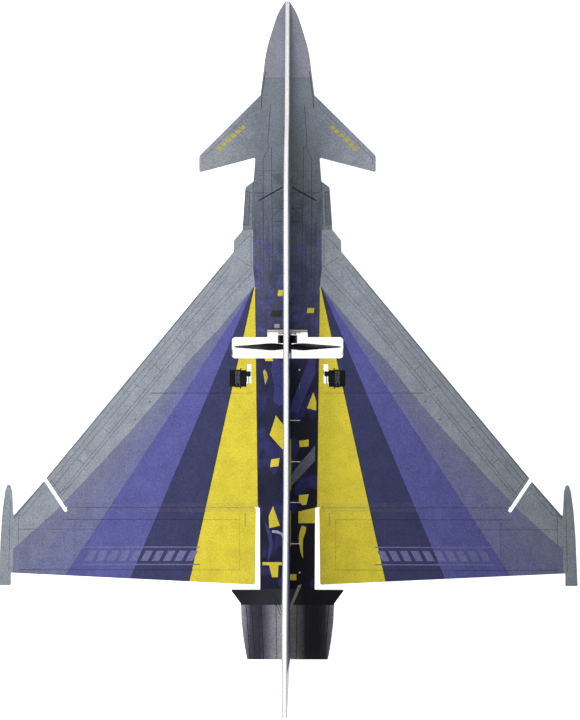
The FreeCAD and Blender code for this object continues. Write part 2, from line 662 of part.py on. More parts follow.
def horn_connector():
    """Barrel that clamps the rod, its pin through the horn's hole, and the keeper behind it."""
    z = HINGE_Z - LINK_RADIUS
    barrel = cross_pin(HINGE, z, BARREL_INNER, BARREL_OUTER, 2.2)
    pin = cross_pin(HINGE, z, BARREL_OUTER, KEEPER_OUTER, PIN_RADIUS)
    keeper = cross_pin(HINGE, z, HORN_OUTER + 0.3, KEEPER_OUTER, 1.7)
    start, end = at(HINGE - 4, ROD_Y, rod_z(HINGE - 4)), at(HINGE + 4, ROD_Y, rod_z(HINGE + 4))
    rod_hole = Part.makeCylinder(ROD_RADIUS, (end - start).Length, start, end - start)
    screw_hole = cross_pin(HINGE, z, BARREL_INNER, ROD_Y - ROD_RADIUS, 1.0)
    return barrel.fuse([pin, keeper]).cut([rod_hole, screw_hole]).removeSplitter()


def connector_screw():
    """The grub screw that pins the rod in its connector."""
    z = HINGE_Z - LINK_RADIUS
    screw = cross_pin(HINGE, z, BARREL_INNER - 0.8, ROD_Y - ROD_RADIUS, 1.0)
    socket = cross_pin(HINGE, z, BARREL_INNER - 0.8, BARREL_INNER + 0.1, 0.45)
    return screw.cut(socket)


# ---- electrics ------------------------------------------------------------------------------------

def ribbon_lead(route):
    """A flat three-wire lead against the plate's underside, along (s, y) points."""
    top = -HALF_FOAM - 0.05
    middle = top - 0.55
    points = [at(s, y, middle) for s, y in route]
    tube = []
    for offset in (-1.1, 0.0, 1.1):
        tube.append(round_lead(offset_route(points, offset), 0.5))
    return Part.makeCompound(tube)


def offset_route(points, offset):
    """The same plan route, moved sideways by an offset."""
    moved = []
    for index, point in enumerate(points):
        before = points[max(index - 1, 0)]
        after = points[min(index + 1, len(points) - 1)]
        first = (point - before if index else after - point)
        last = (after - point if index < len(points) - 1 else point - before)
        first.normalize()
        last.normalize()
        normal = V(-first.y - last.y, first.x + last.x, 0).normalize()
        turn = first.getAngle(last)
        moved.append(point + normal * (offset / math.cos(turn / 2)))
    return moved


def pair_lead(points, spacing, radius, count=2):
    """Parallel wires side by side, spaced across the aircraft."""
    wires = []
    for index in range(count):
        shift = V(0, (index - (count - 1) / 2) * spacing, 0)
        wires.append(round_lead([point + shift for point in points], radius))
    return Part.makeCompound(wires)


def battery():
    front, back, half_width, height = BATTERY
    top = -HALF_FOAM - PAD_THICKNESS
    return soft_block(front, back, -half_width, half_width, top - height, top, 2.0)


def battery_pad():
    """Hook-and-loop patch between the plate and the battery."""
    front, back, half_width, _ = BATTERY
    return block(
        front + 8, back - 8, -half_width + 4, half_width - 4, -HALF_FOAM - PAD_THICKNESS, -HALF_FOAM
    )


def esc():
    front, back, inner, outer, height = ESC
    return soft_block(front, back, inner, outer, -HALF_FOAM - height, -HALF_FOAM, 1.2)


def receiver():
    front, back, inner, outer, height = RECEIVER
    return soft_block(front, back, inner, outer, -HALF_FOAM - height, -HALF_FOAM, 0.6)


def battery_connector():
    """Two-pin plug and socket between the battery and the speed controller."""
    front, back, inner, outer, height = PLUG
    top = -HALF_FOAM - 0.5
    middle = (front + back) / 2
    socket = soft_block(front, middle, inner, outer, top - height, top, 0.5)
    plug = soft_block(middle, back, inner + 0.8, outer - 0.8, top - height + 0.7, top - 0.7, 0.4)
    return Part.makeCompound([socket, plug])


def battery_lead():
    z_plug = -HALF_FOAM - 0.5 - PLUG[4] / 2
    y_plug = (PLUG[2] + PLUG[3]) / 2
    points = [
        at(BATTERY[1], -9.5, -11.0), at(303.5, -9.5, -11.0), at(307.5, y_plug, z_plug),
        at(PLUG[0], y_plug, z_plug),
    ]
    return pair_lead(points, 2.4, 0.9)


def esc_lead():
    z_plug = -HALF_FOAM - 0.5 - PLUG[4] / 2
    y_plug = (PLUG[2] + PLUG[3]) / 2
    return pair_lead([at(PLUG[1], y_plug, z_plug), at(ESC[0], y_plug, z_plug)], 2.4, 0.9)


def motor_leads():
    points = [
        at(ESC[1], -12.0, -6.0), at(362.5, -12.0, -6.0), at(367.0, -11.5, -10.5),
        at(372.4, -11.5, -10.5),
    ]
    return pair_lead(points, 2.2, 0.8, count=3)


def signal_lead():
    """The speed controller's lead to the receiver, through the notch over the lower keel."""
    crossing = LEAD_CROSSINGS[1]
    return ribbon_lead([
        (ESC[0], -18.5), (crossing, -18.5), (crossing, 11.5), (RECEIVER[0], 11.5),
    ])


# the servo lead's way round the outer end of the propeller slot, and inboard as far as y = 40
SERVO_LEAD_START = [
    (SERVO_FRONT, 62.4), (409.0, 62.4), (401.0, 67.5), (388.0, 69.0), (374.0, 67.0),
    (364.0, 57.0), (355.0, 44.0),
]


def servo_lead_left():
    return ribbon_lead(SERVO_LEAD_START + [(349.0, 34.0), (349.0, RECEIVER[3])])


def servo_lead_right():
    """As on the port side, then across ahead of the speed controller to the receiver's front."""
    crossing = LEAD_CROSSINGS[0]
    start = [(s, -y) for s, y in SERVO_LEAD_START]
    return ribbon_lead(start + [
        (339.0, -31.0), (crossing, -22.0), (crossing, 18.0), (RECEIVER[0], 18.0),
    ])


def receiver_antenna():
    z = -HALF_FOAM - 0.6
    return round_lead(
        [at(RECEIVER[0], 21.5, z), at(320.0, 21.5, z), at(300.0, 24.0, z), at(280.0, 30.0, z)], 0.5
    )


def build():
    nodes = {
        "wing_plate": wing_plate(),
        "upper_keel": upper_keel(),
        "lower_keel": lower_keel(),
        "main_spar": main_spar(),
        "motor_mount_plate": motor_mount_plate(),
        "motor_base": motor_base(),
        "motor_bearings": motor_bearings(),
        "motor_stator": motor_stator(),
        "motor_windings": motor_windings(),
        "motor_screws": motor_screws(),
        "motor_bell": motor_bell(),
        "motor_magnets": motor_magnets(),
        "motor_shaft": motor_shaft(),
        "prop_adapter": prop_adapter(),
        "propeller": propeller(),
        "prop_nut": prop_nut(),
        "battery": battery(),
        "battery_pad": battery_pad(),
        "battery_connector": battery_connector(),
        "battery_lead": battery_lead(),
        "esc": esc(),
        "esc_lead": esc_lead(),
        "motor_leads": motor_leads(),
        "receiver": receiver(),
        "receiver_antenna": receiver_antenna(),
        "signal_lead": signal_lead(),
        "servo_lead_left": servo_lead_left(),
        "servo_lead_right": servo_lead_right(),
    }
    per_side = {
        "elevon": elevon,
        "elevon_stiffener": elevon_stiffener,
        "hinge_tape": hinge_tape,
        "servo_case": servo_case,
        "servo_gear_cover": servo_gear_cover,
        "servo_base_cover": servo_base_cover,
        "servo_screws": servo_screws,
        "servo_shaft": servo_shaft,
        "servo_arm": servo_arm,
        "servo_arm_screw": servo_arm_screw,
        "control_horn": control_horn,
        "pushrod": pushrod,
        "horn_connector": horn_connector,
        "connector_screw": connector_screw,
    }
    for name, make in per_side.items():
        port = make()
        nodes[name + "_left"] = port
        nodes[name + "_right"] = mirrored(port)
    return nodes


os.makedirs("parts", exist_ok=True)
for name, shape in build().items():
    shape.exportStep("parts/" + name + ".step")
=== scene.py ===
"""Looks of the flat-foam jet: printed foam sheets, motor, propeller, servos, linkage and wiring."""

import math

import bmesh
import bpy
import numpy as np
from mathutils import Matrix, Vector
from mathutils.geometry import delaunay_2d_cdt


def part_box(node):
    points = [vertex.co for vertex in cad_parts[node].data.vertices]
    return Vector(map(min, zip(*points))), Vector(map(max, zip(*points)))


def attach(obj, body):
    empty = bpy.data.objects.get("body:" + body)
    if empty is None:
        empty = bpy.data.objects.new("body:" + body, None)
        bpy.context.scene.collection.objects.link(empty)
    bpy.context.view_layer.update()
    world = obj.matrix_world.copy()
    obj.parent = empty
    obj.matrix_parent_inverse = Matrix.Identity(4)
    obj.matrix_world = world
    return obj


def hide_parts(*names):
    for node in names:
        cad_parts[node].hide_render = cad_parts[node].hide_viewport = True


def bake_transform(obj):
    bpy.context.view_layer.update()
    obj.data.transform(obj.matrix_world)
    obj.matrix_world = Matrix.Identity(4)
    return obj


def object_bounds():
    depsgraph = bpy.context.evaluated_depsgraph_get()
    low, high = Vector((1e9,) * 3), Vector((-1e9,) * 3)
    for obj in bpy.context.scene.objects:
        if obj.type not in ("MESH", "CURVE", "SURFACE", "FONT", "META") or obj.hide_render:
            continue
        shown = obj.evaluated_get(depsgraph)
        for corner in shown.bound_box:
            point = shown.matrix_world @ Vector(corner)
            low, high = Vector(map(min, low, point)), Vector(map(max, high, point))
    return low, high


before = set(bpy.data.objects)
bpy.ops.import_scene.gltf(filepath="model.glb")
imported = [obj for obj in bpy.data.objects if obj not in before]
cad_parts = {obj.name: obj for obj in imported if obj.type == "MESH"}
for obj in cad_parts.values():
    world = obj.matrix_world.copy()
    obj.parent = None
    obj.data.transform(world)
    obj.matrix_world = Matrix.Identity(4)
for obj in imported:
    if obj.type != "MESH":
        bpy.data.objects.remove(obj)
cad_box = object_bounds()

# ---- places ----
# Stations run aft from the nose and heights from the middle of the horizontal plate, in mm.

MM = 0.001
NOSE_X = cad_box[1].x / MM
PLATE_LOW, PLATE_HIGH = (corner.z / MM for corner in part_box("wing_plate"))
PLATE_MIDDLE = (PLATE_LOW + PLATE_HIGH) / 2
HALF_FOAM = (PLATE_HIGH - PLATE_LOW) / 2
SIDES = {"left": 1, "right": -1}

CHAMFER = 0.25                  # on the edges of the horizontal sheets
KEEL_CHAMFER = 0.36
LINE = 0.55                     # width of a printed panel line
HINGE = 568.0
BEVEL_RUN = 3.46
LIP = 0.7                       # foam left at the front of the elevon's bevel
STRIP_TOP = 1.5                 # height of the carbon strips' upper edge


def at(s, y, z):
    """The row-frame point, in metres, at a station, a distance to port and a height."""
    return Vector(((NOSE_X - s) * MM, y * MM, (PLATE_MIDDLE + z) * MM))


# ---- materials ----
# Colours are triples of 0 to 255 values, and sizes inside a material are in metres.

def linear(colour):
    """A colour as the renderer wants it. Sockets and finished colours stay as they are."""
    if isinstance(colour, bpy.types.NodeSocket) or len(colour) == 4:
        return colour
    values = [channel / 255 for channel in colour]
    return (*[c / 12.92 if c <= 0.04045 else ((c + 0.055) / 1.055) ** 2.4 for c in values], 1)


class Nodes:
    """Short calls that add nodes to a tree."""

    def __init__(self, tree):
        self.tree = tree

    def feed(self, socket, value):
        if isinstance(value, bpy.types.NodeSocket):
            self.tree.links.new(value, socket)
        else:
            socket.default_value = value

    def add(self, kind, inputs=None, **settings):
        made = self.tree.nodes.new(kind)
        for name, value in settings.items():
            setattr(made, name, value)
        for key, value in (inputs or {}).items():
            self.feed(made.inputs[key], value)
        return made


class Look(Nodes):
    """A material with a Principled shader, and calls for what its sockets take."""

    def __init__(self, name, **constants):
        self.material = bpy.data.materials.new(name)
        self.material.use_nodes = True
        super().__init__(self.material.node_tree)
        self.shader = self.tree.nodes["Principled BSDF"]
        for socket, value in constants.items():
            self.set(socket.replace("_", " "), value)
        self.place = self.add("ShaderNodeTexCoord").outputs["Object"]

    def set(self, socket, value):
        self.feed(self.shader.inputs[socket], value)

    def finish(self, colour, roughness, normal):
        """Takes the colour, and what spread and bump take for the roughness and the normal."""
        self.set("Base Color", colour)
        self.set("Roughness", self.spread(*roughness))
        self.set("Normal", self.bump(*normal))
        return self.material

    def noise(self, size, detail=2, stretch=(1, 1, 1), roughness=0.5):
        """Noise whose features are about size metres across."""
        place = self.add("ShaderNodeMapping", {"Vector": self.place, "Scale": stretch}).outputs[0]
        return self.add("ShaderNodeTexNoise", {
            "Vector": place, "Scale": 1 / size, "Detail": detail, "Roughness": roughness,
        }).outputs["Fac"]

    def cells(self, size, feature="DISTANCE_TO_EDGE", output="Distance"):
        inputs = {"Vector": self.place, "Scale": 1 / size}
        return self.add("ShaderNodeTexVoronoi", inputs, feature=feature).outputs[output]

    def bands(self, size, direction="X", distortion=0):
        return self.add("ShaderNodeTexWave", {
            "Vector": self.place, "Scale": 1 / (size * math.tau), "Distortion": distortion,
        }, bands_direction=direction).outputs["Fac"]

    def spread(self, value, low, high, to_low=0, to_high=1, way="SMOOTHSTEP"):
        return self.add("ShaderNodeMapRange", {
            "Value": value, "From Min": low, "From Max": high, "To Min": to_low, "To Max": to_high,
        }, interpolation_type=way).outputs[0]

    def mix(self, factor, first, second, blend_type="MIX"):
        made = self.add("ShaderNodeMix", data_type="RGBA", blend_type=blend_type)
        for slot, value in ((0, factor), (6, linear(first)), (7, linear(second))):
            self.feed(made.inputs[slot], value)
        return made.outputs[2]

    def between(self, noise, dark, light):
        """A tone that goes from dark to light over the middle of a noise's range."""
        return self.mix(self.spread(noise, 0.3, 0.7), dark, light)

    def shaded(self, colour, factor):
        """A colour or a colour socket, made darker or lighter."""
        if isinstance(colour, bpy.types.NodeSocket):
            return self.mix(1, colour, (factor, factor, factor, 1), "MULTIPLY")
        return (*[min(channel * factor, 1) for channel in linear(colour)[:3]], 1)

    def darker(self, share, tone, factor):
        """The tone, shaded where the share is high."""
        return self.mix(share, tone, self.shaded(tone, factor))

    def join(self, operation, first, second):
        return self.add("ShaderNodeMath", {0: first, 1: second}, operation=operation).outputs[0]

    def along(self, axis):
        return self.add("ShaderNodeSeparateXYZ", {0: self.place}).outputs[axis]

    def bump(self, height, distance, strength=1, under=None):
        inputs = {"Height": height, "Distance": distance, "Strength": strength}
        if under is not None:
            inputs["Normal"] = under
        return self.add("ShaderNodeBump", inputs).outputs[0]


BEAD = 0.0030
INK_SHEEN = 0.12
GRAIN = {"light_grey": 0.75, "forward_grey": 0.6, "radome": 0.6, "slate": 0.8, "lavender": 0.8,
         "violet": 0.8, "navy": 0.8, "yellow": 0.3}


def foam_skin(look, colour, grain=1):
    """Printed skin of bead foam: beads show through, and the ink is mottled."""
    seam = look.spread(look.cells(BEAD), 0, 0.16)
    bead = look.add("ShaderNodeSeparateColor", {0: look.cells(BEAD, "F1", "Color")}).outputs[0]
    fine = look.noise(0.0014, 3, roughness=0.7)
    cloud = look.noise(0.02, 3)
    tone = look.between(cloud, look.shaded(colour, 0.94), look.shaded(colour, 1.08))
    tone = look.darker(look.spread(bead, 0, 1, 0, 0.28 * grain), tone, 0.7)
    tone = look.mix(look.spread(fine, 0.36, 0.64), look.shaded(tone, 1 - 0.2 * grain),
                    look.shaded(tone, 1 + 0.2 * grain))
    tone = look.darker(look.spread(seam, 0, 1, 0.34, 0), tone, 0.6)
    dents = look.bump(seam, 0.00016, 0.5)
    return look.finish(tone, (fine, 0.2, 0.8, 0.52, 0.78), (fine, 0.0001, 0.5, dents))


def printed(name):
    return Look("print_" + name, Specular_IOR_Level=INK_SHEEN)


def foam_print(name, colour, aft=None, reach=(0.1, -0.25)):
    """One ink on the foam. With aft, the ink changes to that colour between two values of X."""
    look = printed(name)
    if aft:
        colour = look.mix(look.spread(look.along(0), reach[1], reach[0], 1, 0), colour, aft)
    return foam_skin(look, colour, GRAIN.get(name, 1))


def ramp(look, axis, stops):
    """A colour that changes along an axis, through (place in mm, red, green, blue) stops."""
    places = [stop[0] * MM for stop in stops]
    first, last = places[0], places[-1]
    share = look.spread(look.along(axis), first, last, way="LINEAR")
    made = look.add("ShaderNodeValToRGB", {0: share})
    elements = made.color_ramp.elements
    while len(elements) < len(stops):
        elements.new(0.5)
    for element, place, stop in zip(elements, places, stops):
        element.position = (place - first) / (last - first)
        element.color = linear(stop[1:])
    return made.outputs[0]


def span_print(name, stops):
    """An ink that changes across the span."""
    look = printed(name)
    return foam_skin(look, ramp(look, 1, stops))


def hinge_shade_print(side, sign):
    """Painted shade of the hinge gap: darker copies of the fan's inks, following them across the span.
    """
    # Each ink here is a darker copy of the print beside the hinge: painted shade in the gap.
    inks = [(192, 176, 54), (50, 52, 86), (74, 76, 134), (90, 94, 132), (98, 103, 128),
            (126, 132, 140)]
    stops = [(0, inks[0])]
    for turn, before, after in zip((92.1, 143.1, 200.2, 227.5, 257), inks, inks[1:]):
        stops += [(turn, before), (turn + 0.5, after)]
    stops.append((300, inks[-1]))
    return span_print("seam_" + side, sorted((place * sign, *ink) for place, ink in stops))


def streaked_print(name, blotch, strength, size, stretch, stops):
    """A dark ground that changes along the length, with soft blotches and fine streaks fore and aft."""
    look = printed(name)
    cloud = look.spread(look.noise(size, 1.5, stretch), 0.54, 0.64, 0, strength)
    cloud = look.join("MULTIPLY", cloud, look.spread(look.along(0), 0.12, 0.15, 1, 0))
    tone = look.mix(cloud, ramp(look, 0, stops), blotch)
    depth = look.noise(0.02, 1, (0.8, 1, 0.8))
    tone = look.darker(look.spread(depth, 0.5, 0.68, 0, 0.45), tone, 0.45)
    streak = look.noise(0.0022, 2, (0.03, 1, 1))
    return foam_skin(look, look.darker(look.spread(streak, 0.55, 0.7, 0, 0.5), tone, 0.6))


def cut_edge(name, specular, dark, light, depth, print_and_shade_edges=False):
    """White cut edge of the foam, with the beads sliced open.

    Where asked, both long edges are greyed: partly the print seen round the corners, partly painted
    shade where the corners turn from the light.
    """
    look = Look(name, Specular_IOR_Level=specular)
    seam = look.spread(look.cells(BEAD), 0, 0.2)
    fine = look.noise(0.0007, 3)
    tone = look.between(fine, dark, light)
    tone = look.mix(look.spread(seam, 0, 1, depth, 0), tone, (196, 198, 200))
    if print_and_shade_edges:
        # Grey long edges: partly print round the corners, partly painted shade.
        reach = look.join("ABSOLUTE", look.along(1), 0)
        edge_print_and_shade = look.spread(reach, HALF_FOAM * 0.5 * MM, HALF_FOAM * 0.86 * MM, 0, 0.9)
        tone = look.mix(edge_print_and_shade, tone, (92, 95, 102))
    pores = look.bump(fine, 0.0001, 0.5)
    return look.finish(tone, (fine, 0.2, 0.8, 0.65, 0.85), (seam, 0.00025, 0.6, pores))


def carbon():
    look = Look("pultruded_carbon", Specular_IOR_Level=0.5)
    fibre = look.noise(0.0004, 3, (1, 0.03, 1))
    tone = look.between(fibre, (18, 18, 20), (52, 52, 56))
    return look.finish(tone, (fibre, 0.2, 0.8, 0.25, 0.5), (fibre, 0.00005, 0.4))


def clear_tape():
    look = Look("clear_hinge_tape", Alpha=0.03, Specular_IOR_Level=0.1)
    streak = look.noise(0.003, 3, (1, 0.15, 1))
    tone = look.mix(streak, (110, 114, 130), (170, 172, 184))
    return look.finish(tone, (streak, 0.3, 0.7, 0.12, 0.32), (streak, 0.00008, 0.3))


def plywood():
    """Thin plies seen on the edges, with the grain of the outer ply on the faces."""
    look = Look("birch_plywood", Specular_IOR_Level=0.3)
    plies = look.spread(look.bands(0.0012, "X", 0.4), 0.55, 0.75, 0, 0.45)
    grain = look.noise(0.0006, 4, (1, 0.12, 1), 0.65)
    wood = look.between(grain, (158, 150, 132), (206, 200, 184))
    tone = look.mix(plies, wood, (104, 96, 82))
    return look.finish(tone, (grain, 0.2, 0.8, 0.5, 0.75), (grain, 0.0001, 0.5))


def metal(name, dark, light, roughness=(0.22, 0.4)):
    """Turned, plated or anodised metal with fine tool marks."""
    look = Look(name, Metallic=1)
    marks = look.noise(0.0008, 4, roughness=0.6)
    smudge = look.spread(look.noise(0.006, 2), 0.4, 0.8, 0, 0.25)
    tone = look.mix(smudge, look.between(marks, dark, light), look.shaded(dark, 0.7))
    return look.finish(tone, (marks, 0.2, 0.8, *roughness), (marks, 0.00003, 0.35))


def plastic(name, dark, light, roughness=(0.4, 0.6), specular=0.5):
    """Moulded plastic with a fine spark-eroded grain and slight handling marks."""
    look = Look(name, Specular_IOR_Level=specular)
    grain = look.noise(0.0006, 3, roughness=0.6)
    smudge = look.noise(0.008, 3)
    rubbed = look.spread(smudge, 0.35, 0.8, 0, 0.35)
    tone = look.mix(rubbed, look.between(grain, dark, light), light)
    return look.finish(tone, (smudge, 0.3, 0.7, *roughness), (grain, 0.00005, 0.4))


def lamination():
    look = Look("core_lamination", Metallic=0.7)
    sheets, fine = look.bands(0.00035), look.noise(0.0005, 3)
    tone = look.mix(sheets, (38, 62, 48), (70, 98, 80))
    return look.finish(tone, (fine, 0.2, 0.8, 0.35, 0.55), (sheets, 0.0001, 0.6))


def copper_wire():
    look = Look("enamelled_copper", Metallic=0.9, Coat_Weight=0.5)
    turns = look.bands(0.00032, "DIAGONAL", 0.6)
    tone = look.mix(turns, (126, 58, 28), (206, 118, 62))
    return look.finish(tone, (turns, 0, 1, 0.22, 0.42), (turns, 0.00012, 0.8))


def glass_board():
    look = Look("glass_fibre_board", Specular_IOR_Level=0.5)
    weave = look.join("MULTIPLY", look.bands(0.0005), look.bands(0.0005, "Z"))
    tone = look.mix(weave, (150, 142, 92), (196, 186, 128))
    return look.finish(tone, (weave, 0, 1, 0.3, 0.5), (weave, 0.00005, 0.5))


def sleeve(name, dark, light):
    """Shrunk film: glossy, with faint pull marks."""
    look = Look(name, Specular_IOR_Level=0.5, Coat_Weight=0.6)
    pulls, fine = look.noise(0.004, 3, (0.4, 1.6, 1)), look.noise(0.0009)
    grit = look.bump(fine, 0.00004, 0.4)
    return look.finish(look.between(pulls, dark, light), (fine, 0.2, 0.8, 0.16, 0.34),
                       (pulls, 0.0006, 0.5, grit))


def hook_loop():
    look = Look("hook_and_loop", Sheen_Weight=0.4)
    loops, fuzz = look.cells(0.0009, "F1"), look.noise(0.0005, 4)
    tone = look.mix(look.spread(loops, 0, 0.6), (70, 70, 74), (18, 18, 20))
    return look.finish(tone, (fuzz, 0.2, 0.8, 0.8, 0.98), (loops, 0.0006, 0.9))


def floor_paper():
    """Pale lit backdrop with a faint tooth."""
    look = Look("pale_floor", Roughness=0.9, Specular_IOR_Level=0.1,
                Emission_Color=(1, 1, 1, 1), Emission_Strength=0.9)
    look.set("Base Color", look.mix(look.noise(0.004, 3), (250, 250, 250), (255, 255, 255)))
    return look.material


PLAIN_INKS = {
    "light_grey": (145, 152, 161), "edge_grey": (112, 118, 128), "line_grey": (96, 101, 112),
    "intake_grey": (120, 127, 136), "intake_dark": (108, 113, 122), "line_dark": (58, 60, 70),
    "radome": (141, 140, 153), "dull_yellow": (182, 168, 78), "outline": (52, 50, 48),
    "faint_line": (84, 86, 118), "violet_line": (66, 68, 116), "navy_line": (44, 45, 76),
    "faint_yellow": (186, 170, 54), "black": (26, 26, 32), "white": (226, 227, 232),
    "badge": (108, 111, 154), "pale_violet": (158, 160, 186), "dull_violet": (62, 62, 118),
    "grey_band": (92, 96, 110), "beige": (150, 146, 138), "glazing": (34, 42, 66),
}
FADING_INKS = {
    "forward_grey": ((121, 129, 138), (112, 119, 129), (0.30, 0.19)),
    "slate": ((112, 117, 146), (116, 120, 149)), "lavender": ((110, 114, 151), (111, 115, 152)),
    "violet": ((89, 91, 157), (89, 91, 151)), "navy": ((57, 59, 98), (58, 60, 96)),
    "yellow": ((219, 203, 60), (217, 200, 59)),
}
SPAN_INKS = {
    "petals": [(-53, 136, 136, 140), (-47, 104, 104, 108), (-42, 46, 46, 48), (-34, 28, 28, 30),
               (-20, 38, 38, 41), (-16, 86, 86, 86), (-10, 116, 115, 114), (-5, 130, 129, 128),
               (1, 142, 140, 140), (6, 166, 164, 168), (11, 156, 154, 160), (18, 130, 128, 139),
               (22, 102, 100, 112), (26, 76, 74, 86), (31, 48, 47, 58), (36, 54, 52, 63),
               (42, 66, 65, 76), (47, 118, 117, 127), (53, 160, 160, 166)],
    "canard": [(-100, 152, 156, 166), (-70, 145, 150, 160), (-38, 121, 129, 141),
               (38, 121, 129, 138), (70, 142, 146, 154), (100, 150, 152, 161)],
    "flange": [(-66, 18, 18, 20), (-20, 22, 22, 25), (4, 62, 62, 68), (20, 46, 46, 54),
               (45, 32, 31, 38), (66, 24, 24, 30)],
}
STREAKED_INKS = {
    "fuselage_middle": ((90, 88, 160), 0.45, 0.011, (1.3, 0.8, 0.8), [
        (-20, 56, 57, 92), (60, 74, 77, 106), (110, 88, 93, 114), (160, 99, 104, 118),
        (200, 112, 119, 129)]),
    "fuselage_port": ((56, 58, 120), 0.55, 0.024, (0.8, 1.1, 0.8), [
        (-270, 30, 28, 50), (-100, 38, 38, 66), (20, 50, 51, 84)]),
    "fuselage_starboard": ((52, 54, 116), 0.55, 0.026, (0.8, 1.1, 0.8), [
        (-270, 20, 19, 30), (-50, 30, 29, 46), (30, 54, 52, 90)]),
}
INKS = {name: foam_print(name, colour) for name, colour in PLAIN_INKS.items()}
INKS.update({name: foam_print(name, *facts) for name, facts in FADING_INKS.items()})
INKS.update({name: span_print(name, stops) for name, stops in SPAN_INKS.items()})
INKS.update({name: streaked_print(name, *facts) for name, facts in STREAKED_INKS.items()})
INKS["cut"] = cut_edge("foam_cut_edge", 0.3, (222, 222, 221), (240, 240, 239), 0.35)
# The keel's cut edges have greyed long edges, partly painted shade.
INKS["keel_cut"] = cut_edge("keel_cut_edge", 0.2, (228, 228, 227), (243, 243, 242), 0.3, True)

METALS = {
    "black_anodised": ((8, 8, 10), (24, 24, 28), (0.35, 0.55)),
    "cast_aluminium": ((120, 122, 126), (176, 178, 182)),
    "bright_steel": ((132, 134, 138), (198, 200, 204), (0.16, 0.34)),
    "nickel_magnet": ((140, 140, 142), (190, 190, 190), (0.2, 0.36)),
    "turned_aluminium": ((150, 152, 156), (216, 218, 222), (0.18, 0.34)),
}
PLASTICS = {
    "propeller_black": ((7, 7, 8), (18, 18, 20), (0.4, 0.6), 0.12),
    "servo_black": ((7, 7, 9), (18, 18, 21), (0.5, 0.7), 0.1),
    "arm_black": ((9, 9, 11), (24, 24, 27), (0.5, 0.7), 0.12),
    "receiver_case": ((38, 40, 46), (62, 64, 72)),
    "plug_red": ((150, 22, 20), (188, 44, 38), (0.25, 0.4)),
    "wire_black": ((18, 18, 20), (38, 38, 42)),
    "wire_brown": ((74, 42, 26), (96, 58, 38)),
    "wire_red": ((168, 26, 22), (196, 48, 40)),
    "wire_orange": ((206, 104, 30), (226, 132, 54)),
    "lead_tape": ((188, 190, 192), (214, 216, 218), (0.3, 0.5)),
    "label_dark": ((10, 10, 12), (24, 24, 27), (0.5, 0.7), 0.1),
    "label_grey": ((122, 126, 132), (160, 164, 170), (0.3, 0.5)),
    "label_dim": ((70, 72, 76), (100, 102, 106), (0.4, 0.6), 0.2),
    "label_bar": ((58, 60, 66), (86, 88, 96), (0.3, 0.5)),
    "label_white": ((206, 208, 212), (236, 238, 240), (0.3, 0.5)),
}
MATERIALS = {
    "carbon": carbon(), "tape": clear_tape(), "plywood": plywood(), "lamination": lamination(),
    "copper": copper_wire(), "glass_board": glass_board(), "hook_loop": hook_loop(),
    "battery_wrap": sleeve("battery_wrap", (22, 40, 96), (44, 68, 138)),
    "black_sleeve": sleeve("black_sleeve", (14, 14, 17), (34, 34, 40)),
}
MATERIALS.update({name: metal(name, *facts) for name, facts in METALS.items()})
MATERIALS.update({name: plastic(name, *facts) for name, facts in PLASTICS.items()})
# The hinge strips' materials: painted shade of the hinge gap, one for each side.
MATERIALS.update({"seam_" + side: hinge_shade_print(side, sign) for side, sign in SIDES.items()})


# ---- livery: (ink, corners) in mm, painted in order ----
# A row of corners or points holds their numbers in turn: station, reach, station, reach.

def pairs(row, sign=1):
    return [(s, y * sign) for s, y in zip(row[::2], row[1::2])]


def paint(*rows, signs=(1,)):
    """Polygons from rows of an ink and its corners."""
    return [(ink, pairs(row, sign)) for ink, *row in rows for sign in signs]


def stroke(ink, *rows, width=LINE, signs=(1,)):
    """Lines of one width through rows of points, as a quadrilateral for each run."""
    made = []
    for points in [pairs(row, sign) for row in rows for sign in signs]:
        for (s0, y0), (s1, y1) in zip(points, points[1:]):
            run = Vector((s1 - s0, y1 - y0)).normalized() * (width / 2)
            side = Vector((-run.y, run.x))
            a, b = Vector((s0, y0)) - run, Vector((s1, y1)) + run
            made.append((ink, [tuple(p) for p in (a - side, b - side, b + side, a + side)]))
    return made


def both(*rows):
    """Polygons on both sides of the middle line."""
    return paint(*rows, signs=(1, -1))


def both_strokes(ink, *rows, width=LINE):
    return stroke(ink, *rows, width=width, signs=(1, -1))


def rect(ink, s0, s1, y0, y1, skew=0):
    return paint((ink, s0, y0, s1, y0 + skew, s1, y1 + skew, s0, y1))


def spot(ink, s, y, radius, count=10):
    turn = [math.tau * k / count for k in range(count)]
    return [(ink, [(s + radius * math.cos(a), y + radius * math.sin(a)) for a in turn])]


# leading edge of the wing: a point on it, its direction, and the way inboard from it
EDGE_POINT = Vector((533.4, 269.8))
EDGE_ALONG = Vector((1, 0.8286)).normalized()
EDGE_IN = Vector((EDGE_ALONG.y, -EDGE_ALONG.x))


def from_edge(s, depth):
    """The point a depth inboard of the leading edge, square to the edge at station s."""
    start = EDGE_POINT + EDGE_ALONG * ((s - EDGE_POINT.x) / EDGE_ALONG.x)
    return tuple(start + EDGE_IN * depth)


def wedges():
    """The fan of inks that opens aft from the strake, outermost first."""
    made = []
    for ink, *row in (
            ("slate", 321, 38.5, 366, 76, 405, 112.5, 438.5, 138.5, 483, 177, 537, 227,
             573, 261.8, 610.5, 303.7, 660, 360),
            ("lavender", 321.5, 38.5, 438.4, 126.3, 514.7, 185.8, 557.4, 218.3, 641.6, 291.3,
             660, 307),
            ("violet", 322, 38.5, 645, 250.7, 660, 260.6), ("navy", 321.6, 38.7, 648, 177, 660, 182),
            ("yellow", 321, 37.6, 651.7, 110.5, 660, 112.4)):
        made += both((ink, *row, 660, 0, row[0], 0))
    return made + both_strokes("outline", (321, 37.6, 651.7, 110.5), width=0.8)


